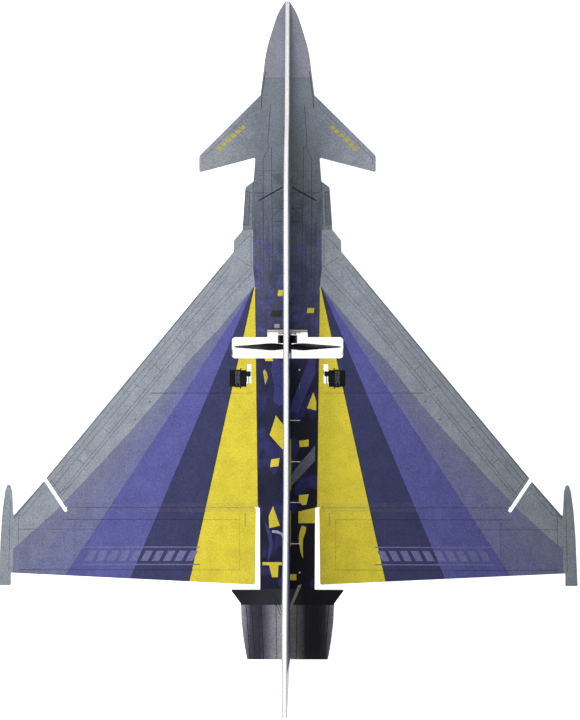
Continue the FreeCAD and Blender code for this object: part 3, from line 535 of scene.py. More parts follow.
def wing_lines():
    """Dark edge strip and the panel lines that follow the leading edge."""
    tip = 543.0
    made = both(("edge_grey", *from_edge(296, -2), *from_edge(620, -2), *from_edge(620, 1.7),
                 *from_edge(296, 1.7)))
    for depth, start in ((6.7, 292), (12.3, 300), (22.5, 335), (25.9, 345)):
        row = (*from_edge(start, depth), *from_edge(tip - depth * 0.1, depth))
        made += both_strokes("line_grey", row)
    made += both_strokes("line_grey", (*from_edge(424, 9.3), *from_edge(421, 24.6)),
                         (536, 266.5, 551.5, 256), (551.5, 256, 542, 242.5))
    for s in (404.7, 424.9):
        s_in, y_in = from_edge(s + 22, 35)
        made += spot("line_grey", s_in, y_in, 1) + spot("line_grey", s_in, -y_in, 1)
    ribs = [(*from_edge(s, 12.3), *from_edge(s, 22.5)) for s in (370, 400, 470, 505)]
    return made + both_strokes(
        "line_grey", (552, 276.5, 577, 297.5, 577, 302.5, 610, 302.5),
        (259.9, 41, 296.9, 41), (262.1, 42.1, 280.1, 60.1), (286.8, 57.8, 296.9, 42.1),
        (297, 40, *from_edge(335, 22.5)), (303.5, 38.8, *from_edge(345, 25.9)), *ribs)


def elevon_lines():
    """Lines across the fan, each in a darker tone of the ink under it."""
    made = []
    for s, *ends in ((581.5, 54, 95, 149, 210, 252), (638, 54, 107, 173, 246, 302),
                     (439.5, 40, 63, 88, 115, 153)):
        inks = ("faint_yellow", "navy_line", "violet_line", "faint_line")
        for ink, start, end in zip(inks, ends, ends[1:]):
            made += both_strokes(ink, (s, start, s, end), width=0.9)
    made += both_strokes("faint_line", (592.5, 215, 592.5, 302), (584, 239, 634, 239))
    return made + both_strokes("faint_yellow", (581.5, 54, 638, 54))


def canard_marks():
    """Grey canards, darker at the root, with short yellow dashes and a line inside the edge."""
    made = both(("canard", 90, 28, 90, 105, 200, 105, 200, 60, 180, 40, 180, 28))
    start, end = Vector((139.5, 48)), Vector((167.5, 79.5))
    along = (end - start).normalized()
    side, lean = Vector((-along.y, along.x)) * 2.3, along * 1.4
    count = 6
    for index in range(count):
        a = start.lerp(end, index / count)
        b = a + along * 5.0
        made += both(("dull_yellow", *(a - side), *(b - side), *(b + side + lean),
                      *(a + side + lean)))
    return made + both_strokes("line_grey", (117.5, 34.5, 176, 95.4, 182, 95.4))


def elevon_badge():
    """Two rules with a row of plain slanted bars between them."""
    inner, outer, front, back = 99, 231, 612.5, 632.0
    made = both_strokes("badge", (front, inner, front, outer), (back, inner, back, outer), width=1.3)
    bars, width, lean, gap = 10, 8.2, 3, 4
    pitch = (outer - inner - 6) / bars
    for index in range(bars):
        y = inner + 4.5 + index * pitch
        made += both(("badge", front + gap, y - lean, back - gap, y + lean,
                      back - gap, y + width + lean, front + gap, y + width - lean))
    return made


def fuselage():
    """Grey forebody that darkens aft into violet and navy."""
    made = both(("intake_grey", 194, 34, 204, 54, 256.5, 54, 256.5, 34),
                ("intake_dark", 214, 42, 213, 47.6, 251, 50, 251, 43.5),
                ("forward_grey", 80, 0, 80, 40, 108, 34, 176, 37, 193, 38, 193, 0),
                ("radome", -5, 0, -5, 40, 86, 40, 86, 0),
                ("fuselage_middle", 193, 0, 193, 38, 262, 38.5, 300, 38.5, 324, 36, 402, 35,
                 402, 0))
    for ink, sign in (("fuselage_port", 1), ("fuselage_starboard", -1)):
        made += paint((ink, 400, 35.1, 565, 33, 660, 31, 660, 0, 400, 0), signs=(sign,))
    return made + both_strokes("outline", (324, 36, 565, 33), width=0.8)


def fuselage_lines():
    made = both_strokes(
        "line_dark", (116, 19, 158, 22, 163.5, 20.5, 177, 27.3, 322, 26.5),
        (163.5, 18, 213, 17.6, 322, 16), (250, 21, 318, 20.5), (250, 31, 322, 30.5),
        (215, 4, 215, 37), (232, 4, 232, 17), (247, 4, 247, 15), (232, 5, 240, 16))
    made += both_strokes("line_grey", (86, 4, 86, 29))
    made += both_strokes("line_dark", (198, 38.4, 256, 39.5),
                         (214, 42, 213, 47.6, 251, 50, 251, 43.5, 214, 42))
    made += both_strokes("black", (208.8, 6, 223.2, 31.5), width=1.4)
    made += both_strokes("line_grey", (190, 4, 190, 34))
    return made + both_strokes("line_dark", (79, 24.7, 105, 28.6, 120, 29.4), width=0.8)


def fuselage_marks():
    """Scattered yellow, violet and grey patches over the dark rear fuselage."""
    made = paint(
        ("dull_violet", 405, 4, 400, 15.5, 413, 18.6, 432, 14.6, 448, 16, 454, 9, 450, 3,
         416, 3),
        ("dull_violet", 399, -31.5, 399, -25, 446, -6.5, 460, -3, 462, -12, 440, -21, 418, -31.5))
    made += rect("yellow", 323.9, 330.6, 4.5, 10.1, 1)
    made += rect("yellow", 344.1, 349.7, -30.3, -22.5, 0.8)
    made += rect("pale_violet", 362, 366.5, 9, 14.6)
    made += rect("yellow", 400.5, 403.5, 16.8, 25.8, -1)
    made += paint(
        ("dull_yellow", 412.6, 25.9, 416.5, 23.1, 422.1, 22.1, 426, 23.2, 430.5, 25.1,
         424.9, 25.8, 419.3, 26.7, 415.4, 27.3),
        ("yellow", 438.9, -28.8, 446, -26, 456.4, -21.8, 458.9, -32.3, 448.8, -32.3,
         441.7, -30.2),
        ("yellow", 464.5, 13, 486.5, 20, 502.2, 6, 502.2, 3.6, 476.5, 3.6),
        ("yellow", 512.5, 8.8, 521.5, 10.2, 522.6, 19.4, 514, 18.2),
        ("yellow", 493, -13, 500.1, -13.8, 499.3, -23.6, 491.6, -23.9),
        ("grey_band", 498.1, -31, 515.3, -31, 544.3, -4, 529.9, -4.6),
        ("yellow", 554, -12.9, 552.9, -24, 564.7, -21.1, 565.2, -16.6, 560.8, -12.9),
        ("yellow", 572.5, -12.3, 568, -31, 585.4, -31, 585.4, -12.3),
        ("yellow", 588.1, -16.3, 589.8, -21.1, 595.6, -20.3, 602.9, -17.5, 612.5, -17.1,
         625, -17.6, 619, -15, 607.8, -12.9, 598.9, -12.9, 592.5, -14.4),
        ("yellow", 566.4, 16.3, 588.2, 8.4, 591, 20.5, 577.6, 21),
        ("dull_violet", 583.7, 25, 596.5, 18.2, 607.8, 16.4, 618, 17.8, 628.1, 21.4,
         624.7, 22.1, 609.3, 20.5, 598.1, 22.2, 586, 25.6),
        ("pale_violet", 593.3, 17.4, 593.6, 11.4, 596.7, 5.3, 602.3, 4, 602.3, 5.6, 598.3, 7,
         596.7, 12.6, 596.1, 17.1))
    made += rect("yellow", 629.2, 632.6, 6.2, 28.1)
    made += paint(("yellow", 632.6, 20.5, 632.6, 10.2, 646.1, 10.7, 646.1, 17.4))
    made += rect("yellow", 642.7, 649.4, -10.1, -2.2)
    made += spot("white", 640.9, -13.6, 1)
    rungs = [(s, -13.9, s, -2.7) for s in (470.2, 516.5, 562.3, 608.5)]
    made += stroke("white", *rungs, width=0.9)
    made += stroke("grey_band", (429.5, -13.4, 437, -13.4), width=1.1)
    made += spot("white", 413.5, -13.5, 1)
    made += stroke("dull_yellow", (492, -3.6, 548, -3.6), (572, -3.4, 611, -3.4), width=0.9)
    return made + rect("outline", 346.5, 354, 5, 17.5, 2)


def nozzle():
    """Dark flange and the ring of petals, with a pale slanted bar ahead of them."""
    front, back, taper = 677.2, 740, 0.9
    seams = (46.5, 40.4, 29.6, 13, -10.9, -28.5, -39, -46.5)
    made = paint(("flange", 659.5, -66, 659.5, 66, front, 66, front, -66),
                 ("petals", front, -66, front, 66, back, 66, back, -66))
    made += stroke("black", *[(front, y, back, y * taper) for y in seams], width=0.7)
    made += paint(("beige", 655, -12, 654, -16.2, 688, -1.6, 684.5, 0))
    struts = [(662.9, y, 688.7, y - 9.7) for y in (14.6, 17.5)]
    return made + stroke("black", *struts, width=0.6)


def plan_livery():
    """Everything printed on the horizontal sheets, on both faces."""
    made = []
    for layer in (wedges, wing_lines, elevon_lines, canard_marks, elevon_badge, fuselage,
                  fuselage_lines, fuselage_marks, nozzle):
        made += layer()
    made += both(("light_grey", 536, 306.5, 660, 309.5, 660, 330, 530, 330))
    return made + both_strokes("line_grey", (560, 311.5, 640, 313.5))


def upper_livery():
    """Side of the upper keel, with heights in place of reaches."""
    flash = (470, -5, 520, 34, 556, 34, 510, -5)
    made = paint(
        ("forward_grey", 80, -5, 80, 90, 330, 90, 330, -5), ("radome", -5, -5, -5, 40, 86, 40, 86, -5),
        ("fuselage_port", 318, 90, 334, 62, 322, 40, 338, 18, 330, -5, 800, -5, 800, 160, 500, 160),
        ("violet", 440, -5, 560, 90, 720, 160, 800, 160, 800, -5),
        ("navy", 520, -5, 600, 60, 735, 160, 800, 160, 800, -5), ("yellow", *flash))
    made += stroke("outline", flash, width=0.9)
    made += paint(("light_grey", 238, 66, 556, 66, 700, 141, 800, 141, 800, 160, 500, 160, 238, 90))
    made += stroke("line_grey", (238, 66, 556, 66, 700, 141, 800, 141))
    made += paint(("glazing", 136, 33, 150, 48, 168, 59, 190, 69, 207, 74, 236, 76.5, 243, 74,
                   238, 64, 214, 52, 176, 40))
    made += stroke("light_grey", (136, 33, 176, 40, 214, 52, 238, 64, 243, 74), width=1.2)
    made += stroke("line_grey", (186, 42.5, 182, 66), width=1.2)
    frames = [(s, 3, s, 24 if s < 140 else 34) for s in (128, 176, 226, 262, 300)]
    made += stroke("line_grey", (86, 3, 86, 24), (110, 14, 320, 14), *frames,
                   (250, 78, 262, 40, 320, 38))
    made += paint(("white", 738.5, -5, 738.5, 160, 800, 160, 800, -5))
    made += stroke("line_grey", (738.5, -5, 738.5, 160), width=0.9)
    made += paint(("white", 420, 56, 430, 56, 438, 66, 428, 66))
    return made + stroke("faint_line", (410, 40, 560, 40))


def lower_livery():
    """Side of the lower keel, with heights in place of reaches."""
    made = paint(
        ("forward_grey", -5, 5, -5, -80, 330, -80, 330, 5), ("radome", -5, 5, -5, -40, 86, -40, 86, 5),
        ("black", 200, -36, 207, -36, 236, -80, 222, -80, 205, -60),
        ("intake_grey", 207, -36, 222, -36, 250, -80, 236, -80),
        ("fuselage_port", 312, 5, 326, -20, 316, -42, 330, -80, 800, -80, 800, 5),
        ("violet", 470, 5, 400, -80, 800, -80, 800, 5), ("navy", 540, 5, 480, -80, 800, -80, 800, 5),
        ("yellow", 600, 5, 552, -80, 592, -80, 640, 5), ("black", 676, 5, 676, -80, 800, -80, 800, 5))
    frames = [(s, -3, s, -26 if s < 200 else -60) for s in (128, 176, 232, 288)]
    return made + stroke("line_grey", (100, -14, 312, -14), *frames, (240, -50, 312, -50))


# ---- foam sheets ----

class Chart:
    """Flat coordinates on a sheet: horizontal sheets are seen from above, keels from port."""

    def __init__(self, horizontal):
        self.horizontal = horizontal

    def flatten(self, point):
        """(u, v, w) in mm of a row-frame point in metres, with w through the sheet."""
        x, y, z = (value / MM for value in point)
        return (x, y, z) if self.horizontal else (z, x, y)

    def place(self, u, v, w):
        x, y, z = (u, v, w) if self.horizontal else (v, w, u)
        return Vector((x, y, z)) * MM

    def from_livery(self, corners):
        """Flat coordinates of printed corners."""
        if self.horizontal:
            return [(NOSE_X - s, y) for s, y in corners]
        return [(PLATE_MIDDLE + z, NOSE_X - s) for s, z in corners]


def sheet_loops(node, chart):
    """Closed loops round a sheet's upper or port face and its openings, with the foam on their left."""
    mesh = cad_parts[node].data
    flat = [chart.flatten(vertex.co) for vertex in mesh.vertices]
    top = max(point[2] for point in flat)
    keys = [(round(point[0], 3), round(point[1], 3)) for point in flat]
    half_edges = set()
    for face in mesh.polygons:
        if any(abs(flat[index][2] - top) > 0.002 for index in face.vertices):
            continue
        ring = [keys[index] for index in face.vertices]
        half_edges.update(zip(ring, ring[1:] + ring[:1]))
    following = {a: b for a, b in half_edges if (b, a) not in half_edges and a != b}
    loops = []
    while following:
        start = next(iter(sorted(following)))
        loop = [start]
        point = following.pop(start)
        while point != start:
            loop.append(point)
            point = following.pop(point)
        loops.append(loop)
    return loops


def mitre(before, here, after, distance):
    """A loop's point moved to its left by a distance, along its mitre."""
    first = (Vector(here) - Vector(before)).normalized()
    second = (Vector(after) - Vector(here)).normalized()
    left = Vector((-first.y - second.y, first.x + second.x))
    if left.length < 1e-6:
        return Vector(here)
    left.normalize()
    reach = distance / max(left.dot(Vector((-first.y, first.x))), 0.45)
    return Vector(here) + left * reach


def inset(loop, distance):
    count = len(loop)
    return [mitre(loop[k - 1], loop[k], loop[(k + 1) % count], distance) for k in range(count)]


def inside(points, rings):
    """Which points lie inside an even number of rings, by counting crossings."""
    odd = np.zeros(len(points), bool)
    for ring in rings:
        a = np.array([tuple(point) for point in ring])
        b = np.roll(a, -1, axis=0)
        for (u0, v0), (u1, v1) in zip(a, b):
            crosses = (v0 > points[:, 1]) != (v1 > points[:, 1])
            if v0 != v1:
                odd ^= crosses & (points[:, 0] < (u1 - u0) * (points[:, 1] - v0) / (v1 - v0) + u0)
    return odd


def overlaps(corners, low, high):
    us, vs = zip(*corners)
    return max(us) > low[0] and min(us) < high[0] and max(vs) > low[1] and min(vs) < high[1]


def foam_sheet(name, node, body, horizontal, ground, livery, grooves=(), underside=None):
    """A foam sheet with the CAD node's outline, its faces divided along the livery's edges.

    grooves are (corners, height) in livery coordinates, cut up into the underside to that height.
    underside(u, v) gives the lower face's height where it isn't flat.
    """
    chart = Chart(horizontal)
    chamfer = CHAMFER if horizontal else KEEL_CHAMFER
    loops = [inset(loop, chamfer) for loop in sheet_loops(node, chart)]
    low_corner, high_corner = (chart.flatten(corner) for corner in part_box(node))
    bottom, top = low_corner[2], high_corner[2]
    painted = [(ink, chart.from_livery(corners)) for ink, corners in livery]
    painted = [row for row in painted if overlaps(row[1], low_corner, high_corner)]
    cuts = [(chart.from_livery(corners), height) for corners, height in grooves]

    rings = loops + [flat for _, flat in painted] + [flat for flat, _ in cuts]
    points, edges = [], []
    for ring in rings:
        first = len(points)
        points += [Vector(point) for point in ring]
        edges += [(first + k, first + (k + 1) % len(ring)) for k in range(len(ring))]
    flat, _, triangles, *_ = delaunay_2d_cdt(points, edges, [], 0, 0.002)

    centres = np.array([sum((flat[index] for index in face), Vector((0, 0))) / 3 for face in triangles])
    kept = np.flatnonzero(inside(centres, loops))
    centres = centres[kept]
    triangles = [triangles[index] for index in kept]

    def filled(ground_value, shapes):
        values = [ground_value] * len(triangles)
        for value, corners in shapes:
            for index in np.flatnonzero(inside(centres, [corners])):
                values[index] = value
        return values

    inks = filled(ground, painted)
    levels = filled(0, [(number, corners) for number, (corners, _) in enumerate(cuts, 1)])

    cut = "cut" if horizontal else "keel_cut"
    used = sorted(set(inks)) + [cut]
    sheet = bmesh.new()
    made = {}

    def vertex(kind, index, u, v, w):
        key = (kind, index)
        if key not in made:
            made[key] = sheet.verts.new(chart.place(u, v, w))
        return made[key]

    def lower(index, level):
        u, v = flat[index]
        if level:
            return cuts[level - 1][1]
        return bottom + (underside(u, v) if underside else 0.0)

    def top_vertex(index):
        return vertex("top", index, *flat[index], top)

    def low_vertex(index, level):
        return vertex(("low", level), index, *flat[index], lower(index, level))

    def face(corners, ink):
        sheet.faces.new(corners).material_index = used.index(ink)

    owner = {}
    for number, corners in enumerate(triangles):
        a, b, c = corners
        if (flat[b] - flat[a]).cross(flat[c] - flat[a]) < 0:
            a, c = c, a
        triangles[number] = (a, b, c)
        for edge in ((a, b), (b, c), (c, a)):
            owner[edge] = number
    following = {a: b for a, b in owner if (b, a) not in owner}
    before = {b: a for a, b in following.items()}

    def rim(index):
        return mitre(flat[before[index]], flat[index], flat[following[index]], -chamfer)

    for number, corners in enumerate(triangles):
        level = levels[number]
        face([top_vertex(k) for k in corners], inks[number])
        face([low_vertex(k, level) for k in reversed(corners)], cut if level else inks[number])
    for (a, b), number in owner.items():
        level = levels[number]
        if (b, a) not in owner:
            u0, v0 = rim(a)
            u1, v1 = rim(b)
            tops = [top_vertex(k) for k in (b, a)]
            lows = [low_vertex(k, level) for k in (a, b)]
            upper_a = vertex("upper", a, u0, v0, top - chamfer)
            upper_b = vertex("upper", b, u1, v1, top - chamfer)
            lower_a = vertex("lower", a, u0, v0, lower(a, level) + chamfer)
            lower_b = vertex("lower", b, u1, v1, lower(b, level) + chamfer)
            face([*tops, upper_a, upper_b], inks[number])
            face([upper_b, upper_a, lower_a, lower_b], cut)
            face([lower_b, lower_a, *lows], inks[number])
        elif levels[owner[(b, a)]] != level and a < b:
            other = levels[owner[(b, a)]]
            face([low_vertex(a, level), low_vertex(b, level), low_vertex(b, other),
                  low_vertex(a, other)], cut)

    return finish_piece(name, sheet, [INKS[ink] for ink in used], body, [node])


def add_object(name, data):
    made = bpy.data.objects.new(name, data)
    bpy.context.scene.collection.objects.link(made)
    return made


def finish_piece(name, mesh, materials, body, nodes=()):
    """Turns a bmesh into a piece that rides on a body and stands for CAD nodes."""
    data = bpy.data.meshes.new(name)
    mesh.to_mesh(data)
    mesh.free()
    piece = add_object(name, data)
    for material in materials:
        data.materials.append(material)
    if body:
        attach(piece, body)
    if nodes:
        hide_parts(*nodes)
    return piece


def strip(front, back, inner, outer):
    """A groove's outline, from its stations and its reach across."""
    return [(front, inner), (back, inner), (back, outer), (front, outer)]


def plate():
    spar = strip(439.0, 440.0, -153.0, 153.0)
    foam_sheet("printed_wing_plate", "wing_plate", "airframe", True, "light_grey", plan_livery(),
               grooves=[(spar, PLATE_MIDDLE + STRIP_TOP)])


def elevon(side, sign):
    front = HINGE + 0.2
    bevel_end = front + BEVEL_RUN
    outer_end, fade_run = 251.2, 1.5

    def bevel(u, v):
        """How far the underside rises towards the hinge."""
        s, reach = NOSE_X - u, abs(v)
        share = min(max((bevel_end - s) / BEVEL_RUN, 0.0), 1.0)
        fade = min(max((outer_end - reach) / fade_run, 0.0), 1.0)
        return share * fade * (2 * HALF_FOAM - LIP)

    livery = plan_livery()
    guides = [("yellow", strip(bevel_end, bevel_end + 0.02, 30 * sign, outer_end * sign))]
    low, high = sorted((37.2 * sign, 300.0 * sign))
    foam_sheet("printed_elevon_" + side, "elevon_" + side, "elevon_" + side, True, "light_grey",
               guides + livery, grooves=[(strip(590.5, 591.5, low, high), PLATE_MIDDLE + STRIP_TOP)],
               underside=bevel)


def keels():
    foam_sheet("printed_upper_keel", "upper_keel", "airframe", False, "forward_grey", upper_livery())
    foam_sheet("printed_lower_keel", "lower_keel", "airframe", False, "forward_grey", lower_livery())


# ---- other pieces ----

def hinge_tape(side):
    """Clear tape over the hinge line, between the plate and the elevon."""
    node = "hinge_tape_" + side
    low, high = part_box(node)
    tape = bmesh.new()
    lift = 0.00002
    rows = []
    # Over the hinge gap the tape carries the painted hinge shade, as an opaque strip.
    seam = (HINGE - 0.35, HINGE + 0.55)
    stations = sorted([*np.linspace(NOSE_X - high.x / MM, NOSE_X - low.x / MM, 11), *seam])
    for s in stations:
        x = (NOSE_X - s) * MM
        corners = [(x, low.y, low.z + lift), (x, high.y, low.z + lift),
                   (x, high.y, high.z), (x, low.y, high.z)]
        rows.append([tape.verts.new(corner) for corner in corners])
    for s, a, b in zip(stations, rows, rows[1:]):
        for k in range(4):
            made = tape.faces.new([a[k], a[(k + 1) % 4], b[(k + 1) % 4], b[k]])
            made.material_index = int(seam[0] <= s < seam[1])
    tape.faces.new(reversed(rows[0]))
    tape.faces.new(rows[-1])
    bmesh.ops.recalc_face_normals(tape, faces=tape.faces)
    looks = [MATERIALS["tape"], MATERIALS["seam_" + side]]
    piece = finish_piece("clear_" + node, tape, looks, None, [node])
    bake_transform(piece)


def at_offset(route, offset):
    """A route of (s, y, z) points moved sideways in plan, mitred at its corners."""
    flat = [Vector(point[:2]) for point in route]
    before = [2 * flat[0] - flat[1]] + flat[:-1]
    after = flat[1:] + [2 * flat[-1] - flat[-2]]
    moved = [mitre(a, here, b, offset) for a, here, b in zip(before, flat, after)]
    return [(*place, point[2]) for place, point in zip(moved, route)]


def cable(name, routes, radius, materials, node):
    """Wires side by side, each a smooth run with closed ends, fixed to the airframe."""
    curve = bpy.data.curves.new(name, "CURVE")
    curve.dimensions = "3D"
    curve.bevel_depth = radius * MM
    curve.bevel_resolution = 3
    curve.resolution_u = 6
    curve.use_fill_caps = True
    for index, (route, material) in enumerate(zip(routes, materials)):
        curve.materials.append(MATERIALS[material])
        spline = curve.splines.new("NURBS")
        spline.points.add(len(route) - 1)
        for target, point in zip(spline.points, route):
            target.co = (*at(*point), 1.0)
        spline.order_u = 3
        spline.use_endpoint_u = True
        spline.material_index = index
    piece = add_object(name, curve)
    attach(piece, "airframe")
    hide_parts(node)


SERVO_WIRES = ("wire_brown", "wire_red", "wire_orange")
POWER_WIRES = ("wire_red", "wire_black")
UNDER = -3.6                    # height of the thin leads, against the plate's underside


def ribbon(name, plan, node):
    """A flat three-wire lead under the plate, along a route given in plan."""
    route = [(*point, UNDER) for point in plan]
    cable(name, [at_offset(route, 1.1 * k) for k in (-1, 0, 1)], 0.5, SERVO_WIRES, node)


def loose_wires(name, route, shifts, radius, materials, node):
    """Round wires, each shifted across from one route."""
    routes = [[(s, y + shift, z) for s, y, z in route] for shift in shifts]
    cable(name, routes, radius, materials, node)


def leads():
    """Servo, signal, motor, battery and controller leads and the receiver's antenna."""
    start = [(413.9, 62.4), (409, 62.4), (401, 67.5), (388, 69), (374, 67), (364, 57), (355, 44)]
    ends = {"left": [(349, 34), (349, 24)], "right": [(339, -31), (328, -22), (328, 18), (338, 18)]}
    for side, sign in SIDES.items():
        route = [(s, y * sign) for s, y in start]
        ribbon("ribbon_lead_" + side, route + ends[side], "servo_lead_" + side)
        for number, first in enumerate((2, 4), 1):
            tape_tab(f"lead_tape_{side}_{number}", route[first:first + 2])
    ribbon("ribbon_lead_signal", [(336, -18.5), (331.6, -18.5), (331.6, 11.5), (338, 11.5)],
           "signal_lead")
    loose_wires("motor_wires", [(358, -12, -6), (362.5, -12, -6), (367, -11.5, -10.5),
                                (372.4, -11.5, -10.5)], (-2.2, 0, 2.2), 0.8, ("wire_black",) * 3,
                "motor_leads")
    loose_wires("battery_wires", [(300, -9.5, -11), (303.5, -9.5, -11), (307.5, -13.5, -6),
                                  (311, -13.5, -6)], (-1.2, 1.2), 0.9, POWER_WIRES, "battery_lead")
    loose_wires("controller_wires", [(325.5, 0, -6), (330, 0, -6), (336, 0, -6)], (-14.7, -12.3),
                0.9, POWER_WIRES, "esc_lead")
    loose_wires("antenna_wire", [(338, 21.5, UNDER), (320, 21.5, UNDER), (300, 24, UNDER),
                                 (280, 30, UNDER)], (0,), 0.5, ["wire_black"], "receiver_antenna")


def prism(mesh, corners, low, high, index):
    """A closed upright prism over plan corners in metres."""
    base = [mesh.verts.new((x, y, low)) for x, y in corners]
    roof = [mesh.verts.new((x, y, high)) for x, y in corners]
    faces = [mesh.faces.new(base), mesh.faces.new(roof)]
    for k in range(len(corners)):
        after = (k + 1) % len(corners)
        faces.append(mesh.faces.new([base[k], base[after], roof[after], roof[k]]))
    for made in faces:
        made.material_index = index


BARS = [[(0.08, 0.3), (0.36, 0.5), (0.56, 0.92)], [(0.08, 0.62), (0.68, 0.8)],
        [(0.08, 0.2), (0.26, 0.72)]]


def label(name, node, margin, way, base, ink, rows):
    """A thin sticker on a CAD node's top (way 1) or underside (way -1), with rows of plain bars.

    BARS gives each row's bars in turn, as pairs of fractions of the sticker's length.
    """
    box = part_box(node)
    level = box[1].z if way > 0 else box[0].z
    west, south, east, north = (box[0].x + margin, box[0].y + margin, box[1].x - margin,
                                box[1].y - margin)
    sticker = bmesh.new()
    cut = 0.5 * MM
    thick, raised = 0.1 * MM * way, 0.04 * MM * way
    corners = [(west + cut, south), (east - cut, south), (east, south + cut), (east, north - cut),
               (east - cut, north), (west + cut, north), (west, north - cut), (west, south + cut)]
    prism(sticker, corners, level - thick * 0.3, level + thick, 0)
    length, pitch = east - west, (north - south) / (rows + 0.5)
    for row in range(rows):
        y0 = south + pitch * (row + 0.45)
        y1 = y0 + pitch * 0.5
        for first, last in BARS[row % len(BARS)]:
            x0, x1 = east - length * last, east - length * first
            prism(sticker, [(x0, y0), (x1, y0), (x1, y1), (x0, y1)], level + thick,
                  level + thick + raised, 1)
    bmesh.ops.recalc_face_normals(sticker, faces=sticker.faces)
    finish_piece(name, sticker, [MATERIALS[base], MATERIALS[ink]], "airframe")


def labels():
    """Plain stickers on the servos, battery, controller and receiver."""
    for side in SIDES:
        for face, way in (("top", 1), ("under", -1)):
            label(f"servo_label_{face}_{side}", "servo_case_" + side, 0.0016, way, "label_dark",
                  "label_dim", 5)
    for node, margin, base, slot, rows in (
            ("battery", 0.004, "label_white", "battery_wrap", 6),
            ("esc", 0.0022, "label_grey", "shrink_sleeve", 4),
            ("receiver", 0.0026, "label_white", "receiver_case", 4)):
        label(node + "_label", node, margin, -1, base, "label_bar", rows)


def tape_tab(name, ends):
    """Thin tape that holds a ribbon lead against the plate's underside."""
    start, end = (Vector(point) for point in ends)
    middle = (start + end) / 2
    along = (end - start).normalized()
    side = Vector((-along.y, along.x))
    foam = -HALF_FOAM
    profile = [(-7.0, foam - 0.02), (-3.2, foam - 0.03), (-2.1, foam - 1.22), (2.1, foam - 1.22),
               (3.2, foam - 0.03), (7.0, foam - 0.02)]
    tab = bmesh.new()
    rings = []
    for step in (-3.5, -1.2, 1.2, 3.5):
        ring = []
        for drop, order in ((0.0, profile), (0.08, profile[::-1])):
            for reach, z in order:
                place = middle + along * step + side * reach
                ring.append(tab.verts.new(at(*place, z - drop)))
        rings.append(ring)
    count = len(rings[0])
    for a, b in zip(rings, rings[1:]):
        for k in range(count):
            tab.faces.new([a[k], a[(k + 1) % count], b[(k + 1) % count], b[k]])
    last = len(profile) - 1
    for ring in (rings[0], rings[-1]):
        for k in range(last):
            tab.faces.new([ring[k], ring[k + 1], ring[count - 2 - k], ring[count - 1 - k]])
    bmesh.ops.recalc_face_normals(tab, faces=tab.faces)
    finish_piece(name, tab, [MATERIALS["lead_tape"]], "airframe")


def dress(node, material):
    """Gives a CAD node a finished material."""
    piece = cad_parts[node]
    if not piece.material_slots:
        piece.data.materials.append(MATERIALS[material])
    for slot in piece.material_slots:
        slot.material = MATERIALS[material]


CAD_LOOKS = {
    "main_spar": "carbon", "motor_mount_plate": "plywood", "motor_base": "cast_aluminium",
    "motor_bearings": "bright_steel", "motor_stator": "lamination", "motor_windings": "copper",
    "motor_screws": "bright_steel", "motor_bell": "black_anodised",
    "motor_magnets": "nickel_magnet", "motor_shaft": "bright_steel",
    "prop_adapter": "black_anodised", "propeller": "propeller_black",
    "prop_nut": "black_anodised", "battery": "battery_wrap", "battery_pad": "hook_loop",
    "battery_connector": "plug_red", "esc": "black_sleeve", "receiver": "receiver_case",
}
SIDE_LOOKS = {
    "elevon_stiffener": "carbon", "servo_case": "servo_black", "servo_gear_cover": "servo_black",
    "servo_base_cover": "servo_black", "servo_screws": "bright_steel",
    "servo_shaft": "servo_black", "servo_arm": "arm_black", "servo_arm_screw": "bright_steel",
    "control_horn": "glass_board", "pushrod": "bright_steel",
    "horn_connector": "turned_aluminium", "connector_screw": "bright_steel",
}


def dress_frame():
    for node, material in CAD_LOOKS.items():
        dress(node, material)
    for side in SIDES:
        for node, material in SIDE_LOOKS.items():
            dress(node + "_" + side, material)


# ---- stage ----

def placed(name, data, place, right, up, backward):
    """A camera or a light at a place, turned to look against backward."""
    made = add_object(name, data)
    turn = Matrix((right, up, backward)).transposed().to_4x4()
    made.matrix_world = Matrix.Translation(place) @ turn
    return made


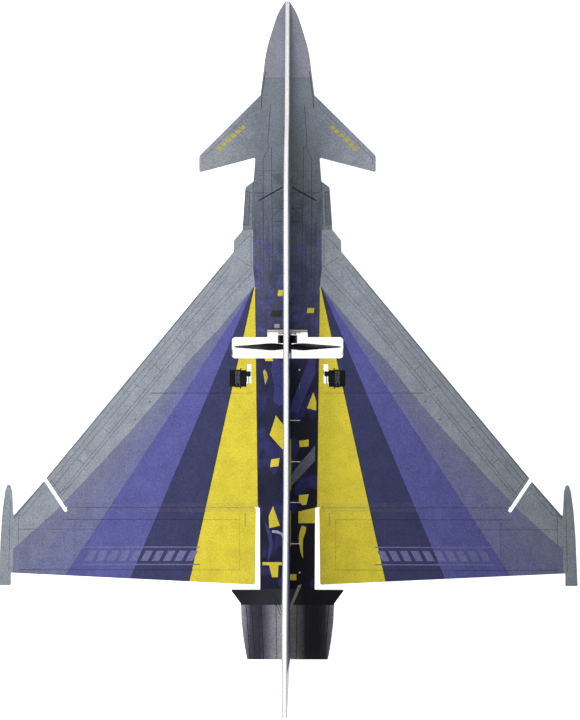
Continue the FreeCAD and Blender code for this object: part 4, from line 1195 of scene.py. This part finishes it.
def camera():
    """Nearly straight above, nose up in the picture, a little to starboard of the keel."""
    distance, offset = 3.3, 0.072
    visible = 0.8083
    target = Vector((-0.0094, -0.0028, (PLATE_HIGH - 3.0) * MM))
    place = target + Vector((0.0, -offset, distance))
    data = bpy.data.cameras.new("camera")
    data.lens = data.sensor_width * distance / visible
    data.clip_end = 20.0
    backward = (place - target).normalized()
    right = Vector((1, 0, 0)).cross(backward).normalized()
    made = placed("camera", data, place, right, backward.cross(right), backward)
    bpy.context.scene.camera = made


def key_light():
    """A soft panel, long in X, that faces down at the port wing."""
    place, target = Vector((0.02, 0.155, 0.56)), Vector((0.0, 0.155, 0.0))
    data = bpy.data.lights.new("key", "AREA")
    data.shape = "RECTANGLE"
    data.size = 1.3
    data.size_y = 0.5
    data.energy = 5.2
    backward = (place - target).normalized()
    up = backward.cross(Vector((1, 0, 0))).normalized()
    made = placed("key", data, place, up.cross(backward), up, backward)
    made.visible_camera = False


def studio_world():
    """A surround that is bright near the horizon and dim overhead."""
    world = bpy.data.worlds.new("studio")
    world.use_nodes = True
    nodes = Nodes(world.node_tree)
    place = nodes.add("ShaderNodeTexCoord").outputs["Generated"]
    height = nodes.add("ShaderNodeSeparateXYZ", {0: place}).outputs[2]
    fade = nodes.add("ShaderNodeMapRange", {
        "Value": height, "From Min": 0.15, "From Max": 0.5, "To Min": 0.92, "To Max": 0.1,
    })
    background = nodes.tree.nodes["Background"]
    nodes.feed(background.inputs["Strength"], fade.outputs[0])
    nodes.feed(background.inputs["Color"], (0.95, 0.97, 1.0, 1.0))
    bpy.context.scene.world = world


def stage():
    key_light()
    studio_world()
    bpy.context.scene.view_settings.view_transform = "Standard"
    floor = bmesh.new()
    bmesh.ops.create_grid(floor, x_segments=2, y_segments=2, size=6.0)
    data = bpy.data.meshes.new("floor")
    floor.to_mesh(data)
    floor.free()
    data.materials.append(floor_paper())
    piece = add_object("floor", data)
    piece.location.z = cad_box[0].z - 0.0002


camera()
dress_frame()
plate()
keels()
for side_name, side_sign in SIDES.items():
    elevon(side_name, side_sign)
    hinge_tape(side_name)
leads()
labels()
stage()
